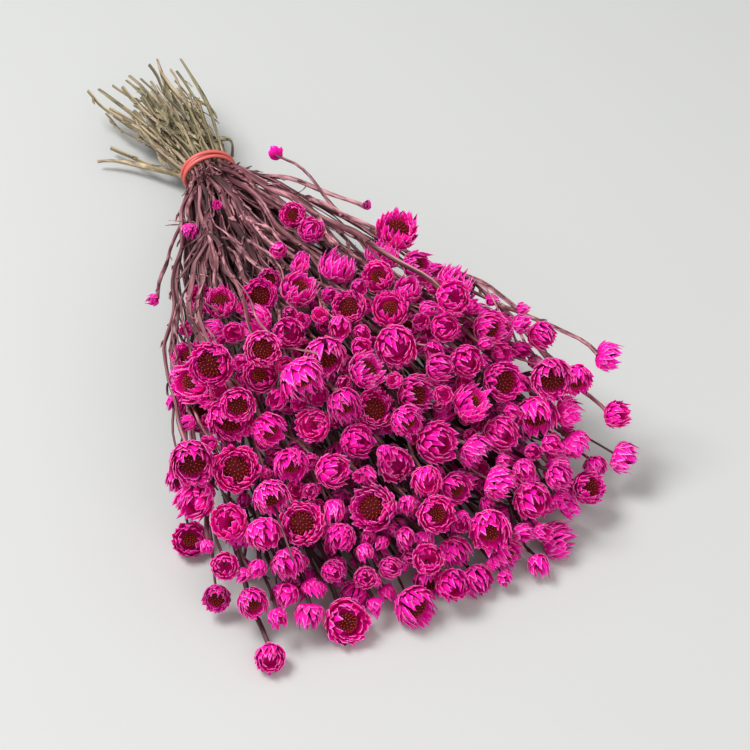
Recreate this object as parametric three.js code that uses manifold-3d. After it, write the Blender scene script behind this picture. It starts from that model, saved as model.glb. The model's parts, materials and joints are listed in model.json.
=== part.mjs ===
// A tied bunch of dried winged everlasting, lying on its side on a surface.
// Millimetres, +Z up. The heads lie towards -Y and the cut ends towards +Y.
// Along the bunch, "reach" is the distance from the tie towards the heads, and is negative
// below the tie, so that a place is given by x across, reach along and z up.

import * as THREE from 'three';
import Module from 'manifold-3d';

const wasm = await Module();
wasm.setup();

// The tie: stems packed round the middle like the seeds of a daisy
const STEM_COUNT = 52;
const TIE_RADIUS = 11.2;
const TIE_HEIGHT = 21.5;
const GOLDEN_ANGLE = 2.399963;

// The fan of the stems towards the heads
const SHOULDER_REACH = 190;
const FAN_SPREAD = 0.345;
const FAN_SPREAD_FRONT = 0.14;
const FAN_LEAN_FRONT = 0.17;
const FAN_RISE = 24.8;
const FAN_DROOP = 9;
const FAN_DROOP_REACH = 95;
const FAN_FLOOR = 5;
const FAN_FLOOR_REACH = 120;
const FAN_SQUARE = 3;
const FAN_SQUARE_REACH = 150;

// The crown's face: furthest at the bottom, set back towards the top and the sides
const FRONT_REACH = 291;
const FRONT_CURVE_RIGHT = 36;
const FRONT_CURVE_LEFT = 6;
const TOP_SETBACK = 85;

// The cut ends below the tie
const TAIL_SPREAD = 0.16;
const TAIL_LEAN = 0.13;
const TAIL_SINK = 0.17;
const TAIL_THICKEN = 0.1;
const TAIL_SHORT = 56;
const TAIL_LONG = 94;
const LOOSE_ACROSS = -0.48;
const LOOSE_UP = -0.76;
const LOOSE_OUT = 34;
const LOOSE_REACH = 70;

// Half widths of the stems and branches
const STEM_WIDE = 1.25;
const STEM_THIN = 0.95;
const STEM_TIP = 0.7;
const STEM_TAPER_REACH = 260;
const BRANCH_ROOT = 0.42;
const BRANCH_FULL = 0.95;
const BRANCH_TIP = 0.75;
const STEM_SIDES = 4;
const BRANCH_SIDES = 3;
const BRANCH_STEPS = 3;
const KNOT_OFF = 0.2;

// How far a stem strays from its own place in the fan, and how it sways
const STRAY = 0.42;
const STRAY_REACH = 150;
const FAN_EDGE = 0.93;
const SWAY_LEAST = 2;
const SWAY_MORE = 4;
const SWAY_LENGTH = 110;
const SWAY_LENGTH_MORE = 90;
const SWAY_REACH = 90;
const SWAY_TAIL = 0.5;
const SWAY_UP = 0.7;

// Places along the bunch where each stem can bend
const LEVELS = [-94, -60, -26, 0, 20, 48, 82, 118, 154, 190, 225, 260, 300];
const TIE_LEVEL = LEVELS.indexOf(0);
const TIE_ZONE = 30;
const EASE_ROUNDS = 90;
const STRAIGHTEN_ROUNDS = 75;
const STRAIGHTEN = 0.06;
const STEM_LOWEST = 2;
const TAIL_LOWEST = 0.7;
const CUT_CLEAR = 6;

// Room between the middles of neighbours, and of heads beyond their own size
const STEM_ROOM_TIE = 2.72;
const STEM_ROOM = 3.3;
const BRANCH_ROOM = 3;
const HEAD_ROOM = -0.8;
const HEAD_STEM_ROOM = 1.3;
const MARK_ROOM = 2.5;
const MARK_LOW = 3;
const SAMPLE = 5;

// Heads: the middle of a head lies this share of its diameter above its base
const HEAD_TOTAL = 204;
const HEAD_LIFT = 0.3;
const FLOOR_DIP = 1.3;
const OPEN_SHARE = 0.58;
const SIZES = {
  open: { least: 13.5, most: 17.5 },
  closed: { least: 12, most: 16 },
  bud: { least: 5.5, most: 8.5 },
};

// How heads face: away from the middle, more ahead near the crown's face, and at random
const FACE_RIGHT = 0.9;
const FACE_AHEAD = 0.45;
const FACE_FRONT = 0.9;
const FACE_FRONT_DEEP = 60;
const FACE_UP = 0.8;
const FACE_RISE = 0.25;
const FACE_STRAY = 0.9;

// The head at a stem's own tip
const TIP_TRIES = 90;
const TIP_BEND = 45;
const TIP_BEND_LEAST = 12;
const TIP_OFF = 26;
const TIP_SETBACK = 6;
const TIP_OVER = 2;
const TIP_OPEN_SHARE = 0.6;
const TIP_BACK = 8;
const TIP_BACK_MORE = 34;
const TIP_SLOPE = 0.6;
const TIP_SHRINK_FROM = 0.4;
const TIP_SHRINK = 0.8;
const TIP_CLEAR = 4;
const TIP_FLOOR = 3;
const SPARE_SIZE = 6;
const SPARE_STEP = 3;

// Forks: a branch leaves the path that carries it this far before its head
const FORK_LEAST = 26;
const FORK_PER_OFF = 2;
const FORK_SLACK = 30;
const FORK_WIDEST = 42;
const FORK_NEAREST = 10;
const FORK_SLOPE = 1.1;
const FORK_AFTER = 12;
const FORK_BEFORE_END = 7;
const FORK_CLEAR = 8;
const FORK_PAST = 3;
const FORK_CHOICES = 6;
const BRANCH_LOWEST = 1.6;

// Heads that mark the bunch's outline and its top, placed by eye: the middle across, its
// reach and height, the diameter, the kind, and the way it faces to the right, front and top
const MARK_HEADS = [
  [45, 140, 68, 17.5, 'open', 0.2, 0.1, 1],
  [66, 185, 72, 14.5, 'closed', 0.8, 0.4, 0.1],
  [75, 202, 64, 6, 'bud', 0.9, 0.3, 0.2],
  [80, 212, 56, 13, 'closed', 0.3, 0.7, 0.3],
  [100, 232, 55, 13, 'open', 0.6, 0.7, 0],
  [88, 230, 44, 14, 'open', 0.2, 0.9, 0.1],
  [100, 245, 34, 12.5, 'closed', 0.8, 0.4, 0.3],
  [100, 254, 18, 14, 'closed', 0.9, 0.3, 0.1],
  [80, 263, 16, 14.5, 'open', 0.5, 0.8, 0.2],
  [60, 277, 7, 16, 'open', 0.5, 0.8, 0.2],
  [52, 268, 24, 16.5, 'closed', 0.2, 0.8, 0.5],
  [22, 284, 6, 14, 'closed', 0.1, 0.9, 0.2],
  [31, 275, 22, 17.5, 'open', 0, 0.9, 0.4],
  [-6, 289, 8, 17.5, 'open', -0.1, 0.9, 0.3],
  [2, 282, 24, 12.5, 'closed', 0, 0.8, 0.5],
  [-33, 287, 8, 18, 'open', -0.2, 0.9, 0.2],
  [-65, 291, 5, 13, 'closed', -0.2, 0.8, 0.4],
  [-74, 279, 5, 6.5, 'bud', -0.4, 0.8, 0.1],
  [-65, 271, 15, 13, 'open', -0.2, 0.8, -0.1],
  [-76, 260, 10, 11, 'open', -0.7, 0.6, 0.1],
  [-72, 261, 28, 12, 'closed', -0.3, 0.7, 0.6],
  [-52, 274, 18, 10, 'bud', 0, 0.9, 0.2],
  [-66, 249, 38, 14.5, 'closed', -0.2, 0.7, 0.7],
  [-76, 224, 6, 15.5, 'open', -0.3, 0.7, 0.7],
  [-74, 215, 32, 14, 'open', -0.1, 0.9, 0.3],
  [-58, 235, 50, 17.5, 'open', 0, 0.6, 0.8],
  [-62, 194, 44, 16, 'open', 0, 0.7, 0.7],
  [-54, 216, 58, 18, 'open', -0.1, 0.9, 0.3],
  [-38, 206, 67, 15, 'open', -0.3, 0.7, 0.7],
  [-56, 168, 50, 15, 'open', -0.6, 0.5, 0.6],
  [-42, 135, 52, 13.5, 'closed', -0.2, 0.6, 0.8],
  [-50, 140, 42, 8, 'bud', -0.5, 0.6, 0.3],
  [-58, 116, 42, 6, 'bud', -0.7, 0.5, 0.2],
  [-29, 72, 40, 9, 'closed', -0.2, 0.6, -0.6],
  [-18, 44, 38, 5.5, 'bud', -0.3, 0.5, 0.8],
  [-13, 62, 43, 5.5, 'bud', -0.1, 0.6, 0.8],
  [12, 98, 56, 12.5, 'open', -0.3, 0.6, 0.6],
  [-16, 150, 66, 10.5, 'open', 0, 0.7, 0.7],
  [-24, 190, 72, 17.5, 'open', 0.6, 0.7, 0.4],
  [-12, 208, 70, 17.5, 'open', 0, 0.9, 0.4],
  [24, 172, 73, 14.5, 'open', -0.2, 0.7, 0.7],
  [45, 176, 72, 11.5, 'open', 0.6, 0.5, 0.4],
  [16, 212, 70, 18, 'closed', -0.3, 0.8, 0.4],
  [51, 88, 44, 5, 'bud', 0.3, 0.5, 0.6],
  [-38, 240, 50, 14.5, 'open', 0.1, 0.8, 0.4],
  [-23, 246, 47, 14, 'closed', -0.1, 0.9, 0.3],
  [-40, 258, 36, 17.5, 'open', -0.1, 0.2, 1],
  [-33, 272, 21, 10, 'closed', 0.1, 0.8, 0.5],
  [-22, 278, 19, 9.5, 'closed', 0, 0.9, 0.4],
  [-11, 276, 18, 10, 'closed', 0, 0.9, 0.3],
  [-49, 268, 28, 13, 'closed', 0, 0.9, 0.2],
  [-12, 260, 36, 17.5, 'open', -0.3, 0.7, 0.7],
  [10, 270, 34, 16, 'open', -0.2, 0.8, 0.5],
  [20, 246, 47, 17.5, 'closed', 0, 0.8, 0.4],
  [39, 235, 52, 17, 'open', 0.4, 0.7, 0.5],
  [56, 228, 52, 17, 'open', 0.1, 0.8, 0.4],
];
const MARK_SLACKS = [0.5, 0.9, 0.1, 1.4, -0.2];

// Further heads on the crown's face and back, drawn at random before the stems are laid,
// so that the stems keep clear of them
const SHELL_ROUNDS = [
  { tries: 1500, most: 34, deep: 12, inner: 0, lowest: -0.9 },
  { tries: 1500, most: 34, deep: 64, inner: 0.86, lowest: -0.1 },
];
const SHELL_ROOM = 0.4;

// A thin twig on the right that grows back towards the tie and ends in a bud
const BACK_TWIG = { rootReach: 94, rootX: 34, rootZ: 46, size: 7.5 };
const BACK_TWIG_POINTS = [[30, 76, 52], [26, 60, 55], [22, 48, 53]];

// Rounds of side heads: tries, depth behind the crown's face, and how far out they start
const SIDE_ROUNDS = [
  { tries: 3500, deep: 8, inner: 0, buds: 0.01 },
  { tries: 3500, deep: 30, inner: 0, buds: 0.02 },
  { tries: 3500, deep: 58, inner: 0, buds: 0.03 },
  { tries: 900, deep: 95, inner: 0.8, buds: 0.1 },
];
const SIDE_SLACKS = [0, 0.6, -0.5];
const SIDE_EDGE = 0.93;

// Dry leaf scraps on the outer stems: every other one below the tie, a few above it
const LEAF_RING = 0.84;
const LEAF_LOWEST = -0.35;
const LEAF_SPACING = 2;
const LEAF_LENGTH = 16;
const LEAF_SHARES = [0, 0.35, 0.75];
const LEAF_WIDE = [0.9, 2.6, 1.8];
const LEAF_THICK = 0.38;
const LEAF_FLARE = 0.42;
const LEAF_ARCH = 0.6;
const LEAF_TIP_OUT = 0.2;
const LEAF_TIP_ON = 0.25;
const LEAF_BELOW = -38;
const LEAF_BELOW_STRAY = 10;
const LEAF_ABOVE = 18;

// The elastic band, wound three times round the bunch
const BAND_STRAND = 0.75;
const BAND_RING = 14.45;
const BAND_STEP_OUT = 0.95;
const BAND_STEP_ALONG = 1.6;
const BAND_TURNS = 3;
const BAND_SEGMENTS = 48;
const BAND_SIDES = 4;

const ROOM_SIZE = 800;
const BRACT_COLOUR = 0xd8308f;
const BAND_COLOUR = 0xc9605a;

const LAY_SEED = 20261;
const SHELL_SEED = 20419;
const HEAD_SEED = 22410;

// A repeatable stream of numbers from 0 to 1
function drawsFrom(seed) {
  let state = seed;
  return () => {
    state = (state * 48271) % 2147483647;
    return state / 2147483647;
  };
}

function smooth(value) {
  const t = Math.min(1, Math.max(0, value));
  return t * t * (3 - 2 * t);
}

// Half width, half height, middle height and sideways lean of the bunch at a reach
function fanAt(reach) {
  const under = TIE_HEIGHT - TIE_RADIUS;
  if (reach < 0) {
    const half = TIE_RADIUS - TAIL_THICKEN * reach;
    return {
      width: TIE_RADIUS - TAIL_SPREAD * reach,
      height: half,
      middle: under + TAIL_SINK * reach + half,
      lean: TAIL_LEAN * reach,
    };
  }
  const past = Math.max(0, reach - SHOULDER_REACH);
  const droop = FAN_DROOP * (past / FAN_DROOP_REACH) * (past / FAN_DROOP_REACH);
  const half = TIE_RADIUS + FAN_RISE * smooth(reach / SHOULDER_REACH) - droop;
  const floor = under + (FAN_FLOOR - under) * smooth(reach / FAN_FLOOR_REACH);
  return {
    width: TIE_RADIUS + FAN_SPREAD * (reach - past) + FAN_SPREAD_FRONT * past,
    height: half,
    middle: floor + half,
    lean: FAN_LEAN_FRONT * past,
  };
}

// A place in the fan, whose round section grows squarer towards the heads
function fanPoint(reach, across, up) {
  const fan = fanAt(reach);
  const size = Math.hypot(across, up) || 1;
  const corner = (Math.abs(across) / size) ** FAN_SQUARE + (Math.abs(up) / size) ** FAN_SQUARE;
  const square = corner > 0 ? corner ** (-1 / FAN_SQUARE) : 1;
  const bulge = 1 + (square - 1) * smooth(reach / FAN_SQUARE_REACH);
  return { x: fan.width * across * bulge + fan.lean, z: fan.middle + fan.height * up * bulge };
}

// Reach of the crown's face at a place across the fan
function frontAt(across, up) {
  const curve = across > 0 ? FRONT_CURVE_RIGHT : FRONT_CURVE_LEFT;
  const rise = Math.max(0, (up + 1) / 2);
  return FRONT_REACH - curve * across * across - TOP_SETBACK * rise * Math.sqrt(rise);
}

// One stem's bends before the stems are eased apart
function roughStem(index, draw) {
  const radius = Math.sqrt((index + 0.5) / STEM_COUNT);
  const angle = index * GOLDEN_ANGLE;
  const slotAcross = radius * Math.cos(angle);
  const slotUp = radius * Math.sin(angle);
  const turn = 2 * Math.PI * draw();
  const stray = STRAY * draw();
  let across = slotAcross + stray * Math.cos(turn);
  let up = slotUp + stray * Math.sin(turn);
  const far = Math.max(FAN_EDGE, Math.hypot(across, up));
  across *= FAN_EDGE / far;
  up *= FAN_EDGE / far;
  const sway = SWAY_LEAST + SWAY_MORE * draw();
  const swayAngle = 2 * Math.PI * draw();
  const swayStart = 2 * Math.PI * draw();
  const swayLength = SWAY_LENGTH + SWAY_LENGTH_MORE * draw();
  // One cut end strays to the lower left of the others
  const loose = Math.hypot(slotAcross - LOOSE_ACROSS, slotUp - LOOSE_UP) < 0.1;
  const stem = { slotAcross, slotUp, across, up, xs: [], zs: [] };
  for (const reach of LEVELS) {
    const ease = smooth(reach / STRAY_REACH);
    const place = fanPoint(
      reach,
      slotAcross + (across - slotAcross) * ease,
      slotUp + (up - slotUp) * ease,
    );
    const wide = sway * (reach < 0 ? SWAY_TAIL : 1) * smooth(Math.abs(reach) / SWAY_REACH);
    const swing = wide * Math.sin(swayStart + (2 * Math.PI * reach) / swayLength);
    const out = loose ? LOOSE_OUT * smooth(-reach / LOOSE_REACH) : 0;
    stem.xs.push(place.x + swing * Math.cos(swayAngle) - out);
    stem.zs.push(place.z + swing * Math.sin(swayAngle) * SWAY_UP);
  }
  stem.tail = TAIL_SHORT + (loose ? 0 : TAIL_LONG - TAIL_SHORT) * draw();
  stem.twist = Math.PI * draw();
  return stem;
}

// Moves the part of a stem between two levels, by shares t and 1 - t at its ends
function shiftSpan(stem, level, t, moveX, moveZ) {
  for (const [at, share] of [[level, 1 - t], [level + 1, t]]) {
    if (at === TIE_LEVEL) continue;
    stem.xs[at] += moveX * share;
    stem.zs[at] += moveZ * share;
  }
}

// Pushes two stems apart where they come closest between two levels
function partPair(a, b, level) {
  const atTie = Math.abs(LEVELS[level]) < TIE_ZONE;
  const room = atTie ? STEM_ROOM_TIE : STEM_ROOM;
  const x0 = a.xs[level] - b.xs[level];
  const z0 = a.zs[level] - b.zs[level];
  const dx = a.xs[level + 1] - b.xs[level + 1] - x0;
  const dz = a.zs[level + 1] - b.zs[level + 1] - z0;
  const long = dx * dx + dz * dz;
  const t = long > 0 ? Math.min(1, Math.max(0, -(x0 * dx + z0 * dz) / long)) : 0;
  const cx = x0 + t * dx;
  const cz = z0 + t * dz;
  const near = Math.sqrt(cx * cx + cz * cz);
  if (near >= room) return;
  const push = (0.5 * (room - near)) / Math.max(near, 0.01);
  shiftSpan(a, level, t, cx * push, cz * push);
  shiftSpan(b, level, t, -cx * push, -cz * push);
}

// Moves a stem out of one of the heads that are placed first
function clearMark(stem, level, mark) {
  const { x, reach, z, size } = mark;
  const t = (reach - LEVELS[level]) / (LEVELS[level + 1] - LEVELS[level]);
  if (t < 0 || t > 1) return;
  const room = size / 2 + MARK_ROOM;
  const dx = stem.xs[level] + (stem.xs[level + 1] - stem.xs[level]) * t - x;
  const dz = stem.zs[level] + (stem.zs[level + 1] - stem.zs[level]) * t - z;
  const near = Math.max(0.1, Math.sqrt(dx * dx + dz * dz));
  if (near >= room) return;
  const share = level > TIE_LEVEL ? t * t + (1 - t) * (1 - t) : t;
  if (z < room + MARK_LOW && dz < 0) {
    const wide = Math.sqrt(room * room - dz * dz) - Math.abs(dx);
    shiftSpan(stem, level, t, ((dx < 0 ? -1 : 1) * wide) / share, 0);
    return;
  }
  const push = (room - near) / near / share;
  shiftSpan(stem, level, t, dx * push, dz * push);
}

function clearMarks(stem, marks) {
  for (let level = TIE_LEVEL; level < LEVELS.length - 1; level += 1) {
    for (const mark of marks) clearMark(stem, level, mark);
  }
}

// Takes kinks out of a stem
function straighten(stem) {
  for (let level = 1; level < LEVELS.length - 1; level += 1) {
    if (level === TIE_LEVEL) continue;
    const part = (LEVELS[level] - LEVELS[level - 1]) / (LEVELS[level + 1] - LEVELS[level - 1]);
    const x = stem.xs[level - 1] + (stem.xs[level + 1] - stem.xs[level - 1]) * part;
    const z = stem.zs[level - 1] + (stem.zs[level + 1] - stem.zs[level - 1]) * part;
    stem.xs[level] += STRAIGHTEN * (x - stem.xs[level]);
    stem.zs[level] += STRAIGHTEN * (z - stem.zs[level]);
  }
}

function keepUp(stem) {
  for (let level = 0; level < LEVELS.length; level += 1) {
    const lowest = level > TIE_LEVEL ? STEM_LOWEST : TAIL_LOWEST;
    stem.zs[level] = Math.max(stem.zs[level], lowest);
  }
}

// All stems, eased apart until they only touch
function layStems(marks) {
  const draw = drawsFrom(LAY_SEED);
  const stems = [];
  for (let index = 0; index < STEM_COUNT; index += 1) stems.push(roughStem(index, draw));
  for (let round = 0; round < EASE_ROUNDS; round += 1) {
    for (let level = 0; level < LEVELS.length - 1; level += 1) {
      for (let i = 0; i < STEM_COUNT; i += 1) {
        for (let j = 0; j < i; j += 1) partPair(stems[i], stems[j], level);
      }
    }
    if (round < STRAIGHTEN_ROUNDS) stems.forEach(straighten);
    stems.forEach((stem) => clearMarks(stem, marks));
    stems.forEach(keepUp);
  }
  return stems;
}

// The place on a list of knots with rising reach; beyond its ends it runs on straight
function placeOn(knots, reach) {
  let at = 1;
  while (at < knots.length - 1 && knots[at].reach < reach) at += 1;
  const a = knots[at - 1];
  const b = knots[at];
  const t = (reach - a.reach) / (b.reach - a.reach);
  return { x: a.x + (b.x - a.x) * t, z: a.z + (b.z - a.z) * t };
}

function samplesOf(knots, from, to) {
  const found = [];
  for (let slot = Math.ceil(from / SAMPLE); slot <= Math.floor(to / SAMPLE); slot += 1) {
    found.push({ slot, reach: slot * SAMPLE, ...placeOn(knots, slot * SAMPLE) });
  }
  return found;
}

function farApart(a, b, room) {
  const dx = a.x - b.x;
  const dy = a.reach - b.reach;
  const dz = a.z - b.z;
  return dx * dx + dy * dy + dz * dz >= room * room;
}

// The bunch as it grows: paths of stems and branches, heads, and samples of the paths
class Bunch {
  constructor() {
    this.paths = [];
    this.heads = [];
    this.samples = new Map();
  }

  addPath(path, samples) {
    path.index = this.paths.length;
    this.paths.push(path);
    this.addSamples(path, samples);
  }

  addSamples(path, samples) {
    for (const one of samples) {
      if (!this.samples.has(one.slot)) this.samples.set(one.slot, []);
      this.samples.get(one.slot).push({ ...one, path: path.index });
    }
  }

  dropSamples(path, from) {
    for (const [slot, list] of this.samples) {
      if (slot * SAMPLE < from) continue;
      this.samples.set(slot, list.filter((one) => one.path !== path.index));
    }
  }

  headIsFree(head, own) {
    for (const other of this.heads) {
      if (!farApart(head, other, head.size / 2 + other.size / 2 + HEAD_ROOM)) return false;
    }
    const room = head.size / 2 + HEAD_STEM_ROOM;
    const first = Math.ceil((head.reach - room) / SAMPLE);
    const last = Math.floor((head.reach + room) / SAMPLE);
    for (let slot = first; slot <= last; slot += 1) {
      for (const one of this.samples.get(slot) ?? []) {
        if (one.path !== own && !farApart(head, one, room)) return false;
      }
    }
    return true;
  }

  samplesAreFree(samples, own) {
    for (const one of samples) {
      for (const other of this.samples.get(one.slot) ?? []) {
        if (other.path !== own && !farApart(one, other, BRANCH_ROOM)) return false;
      }
      for (const head of this.heads) {
        if (!farApart(head, one, head.size / 2 + HEAD_STEM_ROOM)) return false;
      }
    }
    return true;
  }

  // Ends a path in a head, along new knots from a reach on
  finish(path, knots, from, samples, head) {
    this.dropSamples(path, from);
    this.addSamples(path, samples);
    Object.assign(path, { knots, end: knots[knots.length - 1].reach, head });
    this.heads.push(head);
  }
}

function drawKind(buds, draw) {
  const pick = draw();
  if (pick < buds) return 'bud';
  return pick < buds + (1 - buds) * OPEN_SHARE ? 'open' : 'closed';
}

function drawSize(kind, draw) {
  return SIZES[kind].least + (SIZES[kind].most - SIZES[kind].least) * draw();
}

// The way a head faces: out of the crown, and a little at random
function facing(across, up, reach, draw) {
  const front = Math.max(0, 1 - (frontAt(across, up) - reach) / FACE_FRONT_DEEP);
  const right = FACE_RIGHT * across + FACE_STRAY * (draw() - 0.5);
  const ahead = FACE_AHEAD + FACE_FRONT * front + FACE_STRAY * (draw() - 0.5);
  const top = FACE_UP * up + FACE_RISE + FACE_STRAY * (draw() - 0.5);
  return new THREE.Vector3(right, -ahead, top).normalize();
}

// A head on the end of a path, raised where it would dip too far into the surface
function headOn(end, axis, size, kind) {
  const lift = HEAD_LIFT * size;
  const raise = Math.max(0, size / 2 - FLOOR_DIP - (end.z + lift * axis.z));
  return {
    x: end.x + lift * axis.x,
    reach: end.reach - lift * axis.y,
    z: end.z + lift * axis.z + raise,
    size,
    kind,
    axis,
    raise,
  };
}

// A stem's knots with its last stretch bent to end at a place
function bentKnots(path, on, end, bend) {
  const start = end.reach - bend;
  const knots = path.knots.filter((knot) => knot.reach < start - TIP_CLEAR);
  for (const [share, ease] of [[0, 0], [0.5, 0.4], [1, 1]]) {
    const reach = start + share * bend;
    const place = placeOn(path.knots, reach);
    knots.push({ reach, x: place.x + (end.x - on.x) * ease, z: place.z + (end.z - on.z) * ease });
  }
  return knots;
}

// Tries to end a stem in a head this far off its course
function tryTip(bunch, path, reach, offX, offZ, bend, size, kind, axis) {
  const on = placeOn(path.knots, reach);
  const end = { reach, x: on.x + offX, z: Math.max(TIP_FLOOR, on.z + offZ) };
  const head = headOn(end, axis, size, kind);
  const knots = bentKnots(path, on, { ...end, z: end.z + head.raise }, bend);
  const samples = samplesOf(knots, reach - bend, reach);
  const fan = fanAt(reach);
  if (Math.abs(head.x - fan.lean) > fan.width + TIP_OVER) return false;
  if (!bunch.headIsFree(head, path.index)) return false;
  if (!bunch.samplesAreFree(samples, path.index)) return false;
  bunch.finish(path, knots, reach - bend, samples, head);
  return true;
}

// The head at a stem's own tip: the stem bends a little to where the head has room
function addTip(bunch, stem, draw) {
  const path = bunch.paths[stem.path];
  const kind = draw() < TIP_OPEN_SHARE ? 'open' : 'closed';
  const full = drawSize(kind, draw);
  const wish = frontAt(stem.across, stem.up) - TIP_SETBACK;
  const axis = facing(stem.across, stem.up, wish, draw);
  for (let attempt = 0; attempt < TIP_TRIES; attempt += 1) {
    const share = attempt / TIP_TRIES;
    const reach = wish - TIP_BACK * draw() - TIP_BACK_MORE * share * draw();
    const turn = 2 * Math.PI * draw();
    const bend = Math.min(TIP_BEND, reach - path.rooted - TIP_CLEAR);
    const off = Math.min(TIP_OFF * share, TIP_SLOPE * bend) * draw();
    if (bend < TIP_BEND_LEAST) continue;
    const size = full * (1 - TIP_SHRINK * Math.max(0, share - TIP_SHRINK_FROM));
    const offX = off * Math.cos(turn);
    const offZ = off * Math.sin(turn);
    if (tryTip(bunch, path, reach, offX, offZ, bend, size, kind, axis)) return;
  }
  addSpareBud(bunch, path, wish, axis);
}

// Where a head finds no room, the stem ends sooner in a small bud, or else in its last fork
function addSpareBud(bunch, path, wish, axis) {
  const least = path.rooted + TIP_BEND_LEAST + TIP_CLEAR;
  for (let reach = wish; reach > least; reach -= SPARE_STEP) {
    if (tryTip(bunch, path, reach, 0, 0, TIP_BEND_LEAST, SPARE_SIZE, 'bud', axis)) return;
  }
  const reach = path.rooted + FORK_PAST;
  const knots = path.knots.filter((knot) => knot.reach < reach - FORK_CLEAR);
  knots.push({ reach, ...placeOn(path.knots, reach) });
  bunch.dropSamples(path, reach);
  Object.assign(path, { knots, end: reach });
}

// A branch that leaves its parent at a reach and bends out to a head
function tryBranch(bunch, parent, head, end, start) {
  const on = placeOn(parent.knots, end.reach);
  const offX = end.x - on.x;
  const offZ = end.z + head.raise - on.z;
  const knots = [];
  for (let step = 0; step <= BRANCH_STEPS; step += 1) {
    const share = step / BRANCH_STEPS;
    const ease = share * (2 - share);
    const reach = start + (end.reach - start) * share;
    const place = placeOn(parent.knots, reach);
    knots.push({ reach, x: place.x + offX * ease, z: Math.max(BRANCH_LOWEST, place.z + offZ * ease) });
  }
  const samples = samplesOf(knots, start + FORK_PAST, end.reach);
  if (!bunch.samplesAreFree(samples, parent.index)) return false;
  parent.rooted = Math.max(parent.rooted, start);
  bunch.addPath({
    knots,
    start,
    rooted: start,
    end: end.reach,
    spray: parent.spray,
    parent: parent.index,
    head,
    twist: parent.twist + 1,
  }, samples);
  bunch.heads.push(head);
  return true;
}

// Grows a branch to a head from the nearest path that leaves it room
function growBranch(bunch, head, end, slack) {
  const near = [];
  for (const path of bunch.paths) {
    if (path.back) continue;
    const on = placeOn(path.knots, end.reach);
    const off = Math.hypot(end.x - on.x, end.z + head.raise - on.z);
    const long = FORK_LEAST + FORK_PER_OFF * off + FORK_SLACK * slack;
    const start = Math.max(FORK_NEAREST, path.start + FORK_AFTER, end.reach - long);
    if (off < head.size / 2 + FORK_PAST / 2 || off > FORK_WIDEST) continue;
    if (off > FORK_SLOPE * (end.reach - start) || start > path.end - FORK_BEFORE_END) continue;
    near.push({ path, off, start });
  }
  near.sort((a, b) => a.off - b.off);
  return near.slice(0, FORK_CHOICES).some((one) => tryBranch(bunch, one.path, head, end, one.start));
}

// The heads that are placed before the stems: those chosen by eye, then the drawn ones
function layMarks() {
  const marks = MARK_HEADS.map(([x, reach, z, size, kind, right, front, up]) => {
    const axis = new THREE.Vector3(right, -front, up).normalize();
    return { x, reach, z, size, kind, axis };
  });
  const draw = drawsFrom(SHELL_SEED);
  for (const { tries, most, deep, inner, lowest } of SHELL_ROUNDS) {
    const full = marks.length + most;
    for (let attempt = 0; attempt < tries; attempt += 1) {
      const kind = drawKind(0, draw);
      const size = drawSize(kind, draw);
      const turn = 2 * Math.PI * draw();
      const out = SIDE_EDGE * (inner + (1 - inner) * Math.sqrt(draw()));
      const across = out * Math.cos(turn);
      const up = out * Math.sin(turn);
      const reach = frontAt(across, up) - deep * draw();
      const axis = facing(across, up, reach, draw);
      const mark = { ...fanPoint(reach, across, up), reach, size, kind, axis };
      const free = marks.every((other) => (
        farApart(mark, other, size / 2 + other.size / 2 + SHELL_ROOM)
      ));
      const high = mark.z > size / 2 - FLOOR_DIP && up > lowest;
      if (free && high && marks.length < full) marks.push(mark);
    }
  }
  return marks;
}

// A head at one of those places
function addMark(bunch, mark) {
  const { x, reach, z, size, kind, axis } = mark;
  const lift = HEAD_LIFT * size;
  const end = { x: x - lift * axis.x, reach: reach + lift * axis.y, z: z - lift * axis.z };
  const head = headOn(end, axis, size, kind);
  if (!bunch.headIsFree(head, -1)) return false;
  return MARK_SLACKS.some((slack) => growBranch(bunch, head, end, slack));
}

// A head at a place drawn at random, kept where nothing is in its way
function addSide(bunch, round, draw) {
  const kind = drawKind(round.buds, draw);
  const size = drawSize(kind, draw);
  const turn = 2 * Math.PI * draw();
  const out = SIDE_EDGE * (round.inner + (1 - round.inner) * Math.sqrt(draw()));
  const across = out * Math.cos(turn);
  const up = out * Math.sin(turn);
  const reach = frontAt(across, up) - round.deep * draw();
  const axis = facing(across, up, reach, draw);
  const slack = draw();
  const end = { reach, ...fanPoint(reach, across, up) };
  const head = headOn(end, axis, size, kind);
  if (!bunch.headIsFree(head, -1)) return;
  SIDE_SLACKS.some((more) => growBranch(bunch, head, end, slack + more));
}

function addBackTwig(bunch) {
  const { rootReach, rootX, rootZ, size } = BACK_TWIG;
  let parent = null;
  let nearest = Infinity;
  for (const path of bunch.paths) {
    const on = placeOn(path.knots, rootReach);
    const off = Math.hypot(on.x - rootX, on.z - rootZ);
    if (path.end < rootReach || off > nearest) continue;
    parent = path;
    nearest = off;
  }
  const root = { reach: rootReach, ...placeOn(parent.knots, rootReach) };
  const points = BACK_TWIG_POINTS.map(([x, reach, z]) => ({ x, reach, z }));
  const tip = points[points.length - 1];
  const axis = new THREE.Vector3(-0.3, 0.9, 0.1).normalize();
  const head = headOn(tip, axis, size, 'bud');
  const samples = samplesOf([root, ...points].reverse(), tip.reach, rootReach - FORK_PAST);
  parent.rooted = Math.max(parent.rooted, rootReach);
  bunch.addPath({
    knots: [root, ...points],
    start: rootReach,
    rooted: rootReach,
    end: tip.reach,
    back: true,
    spray: parent.spray,
    parent: parent.index,
    head,
    twist: 1,
  }, samples);
  bunch.heads.push(head);
}

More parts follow.
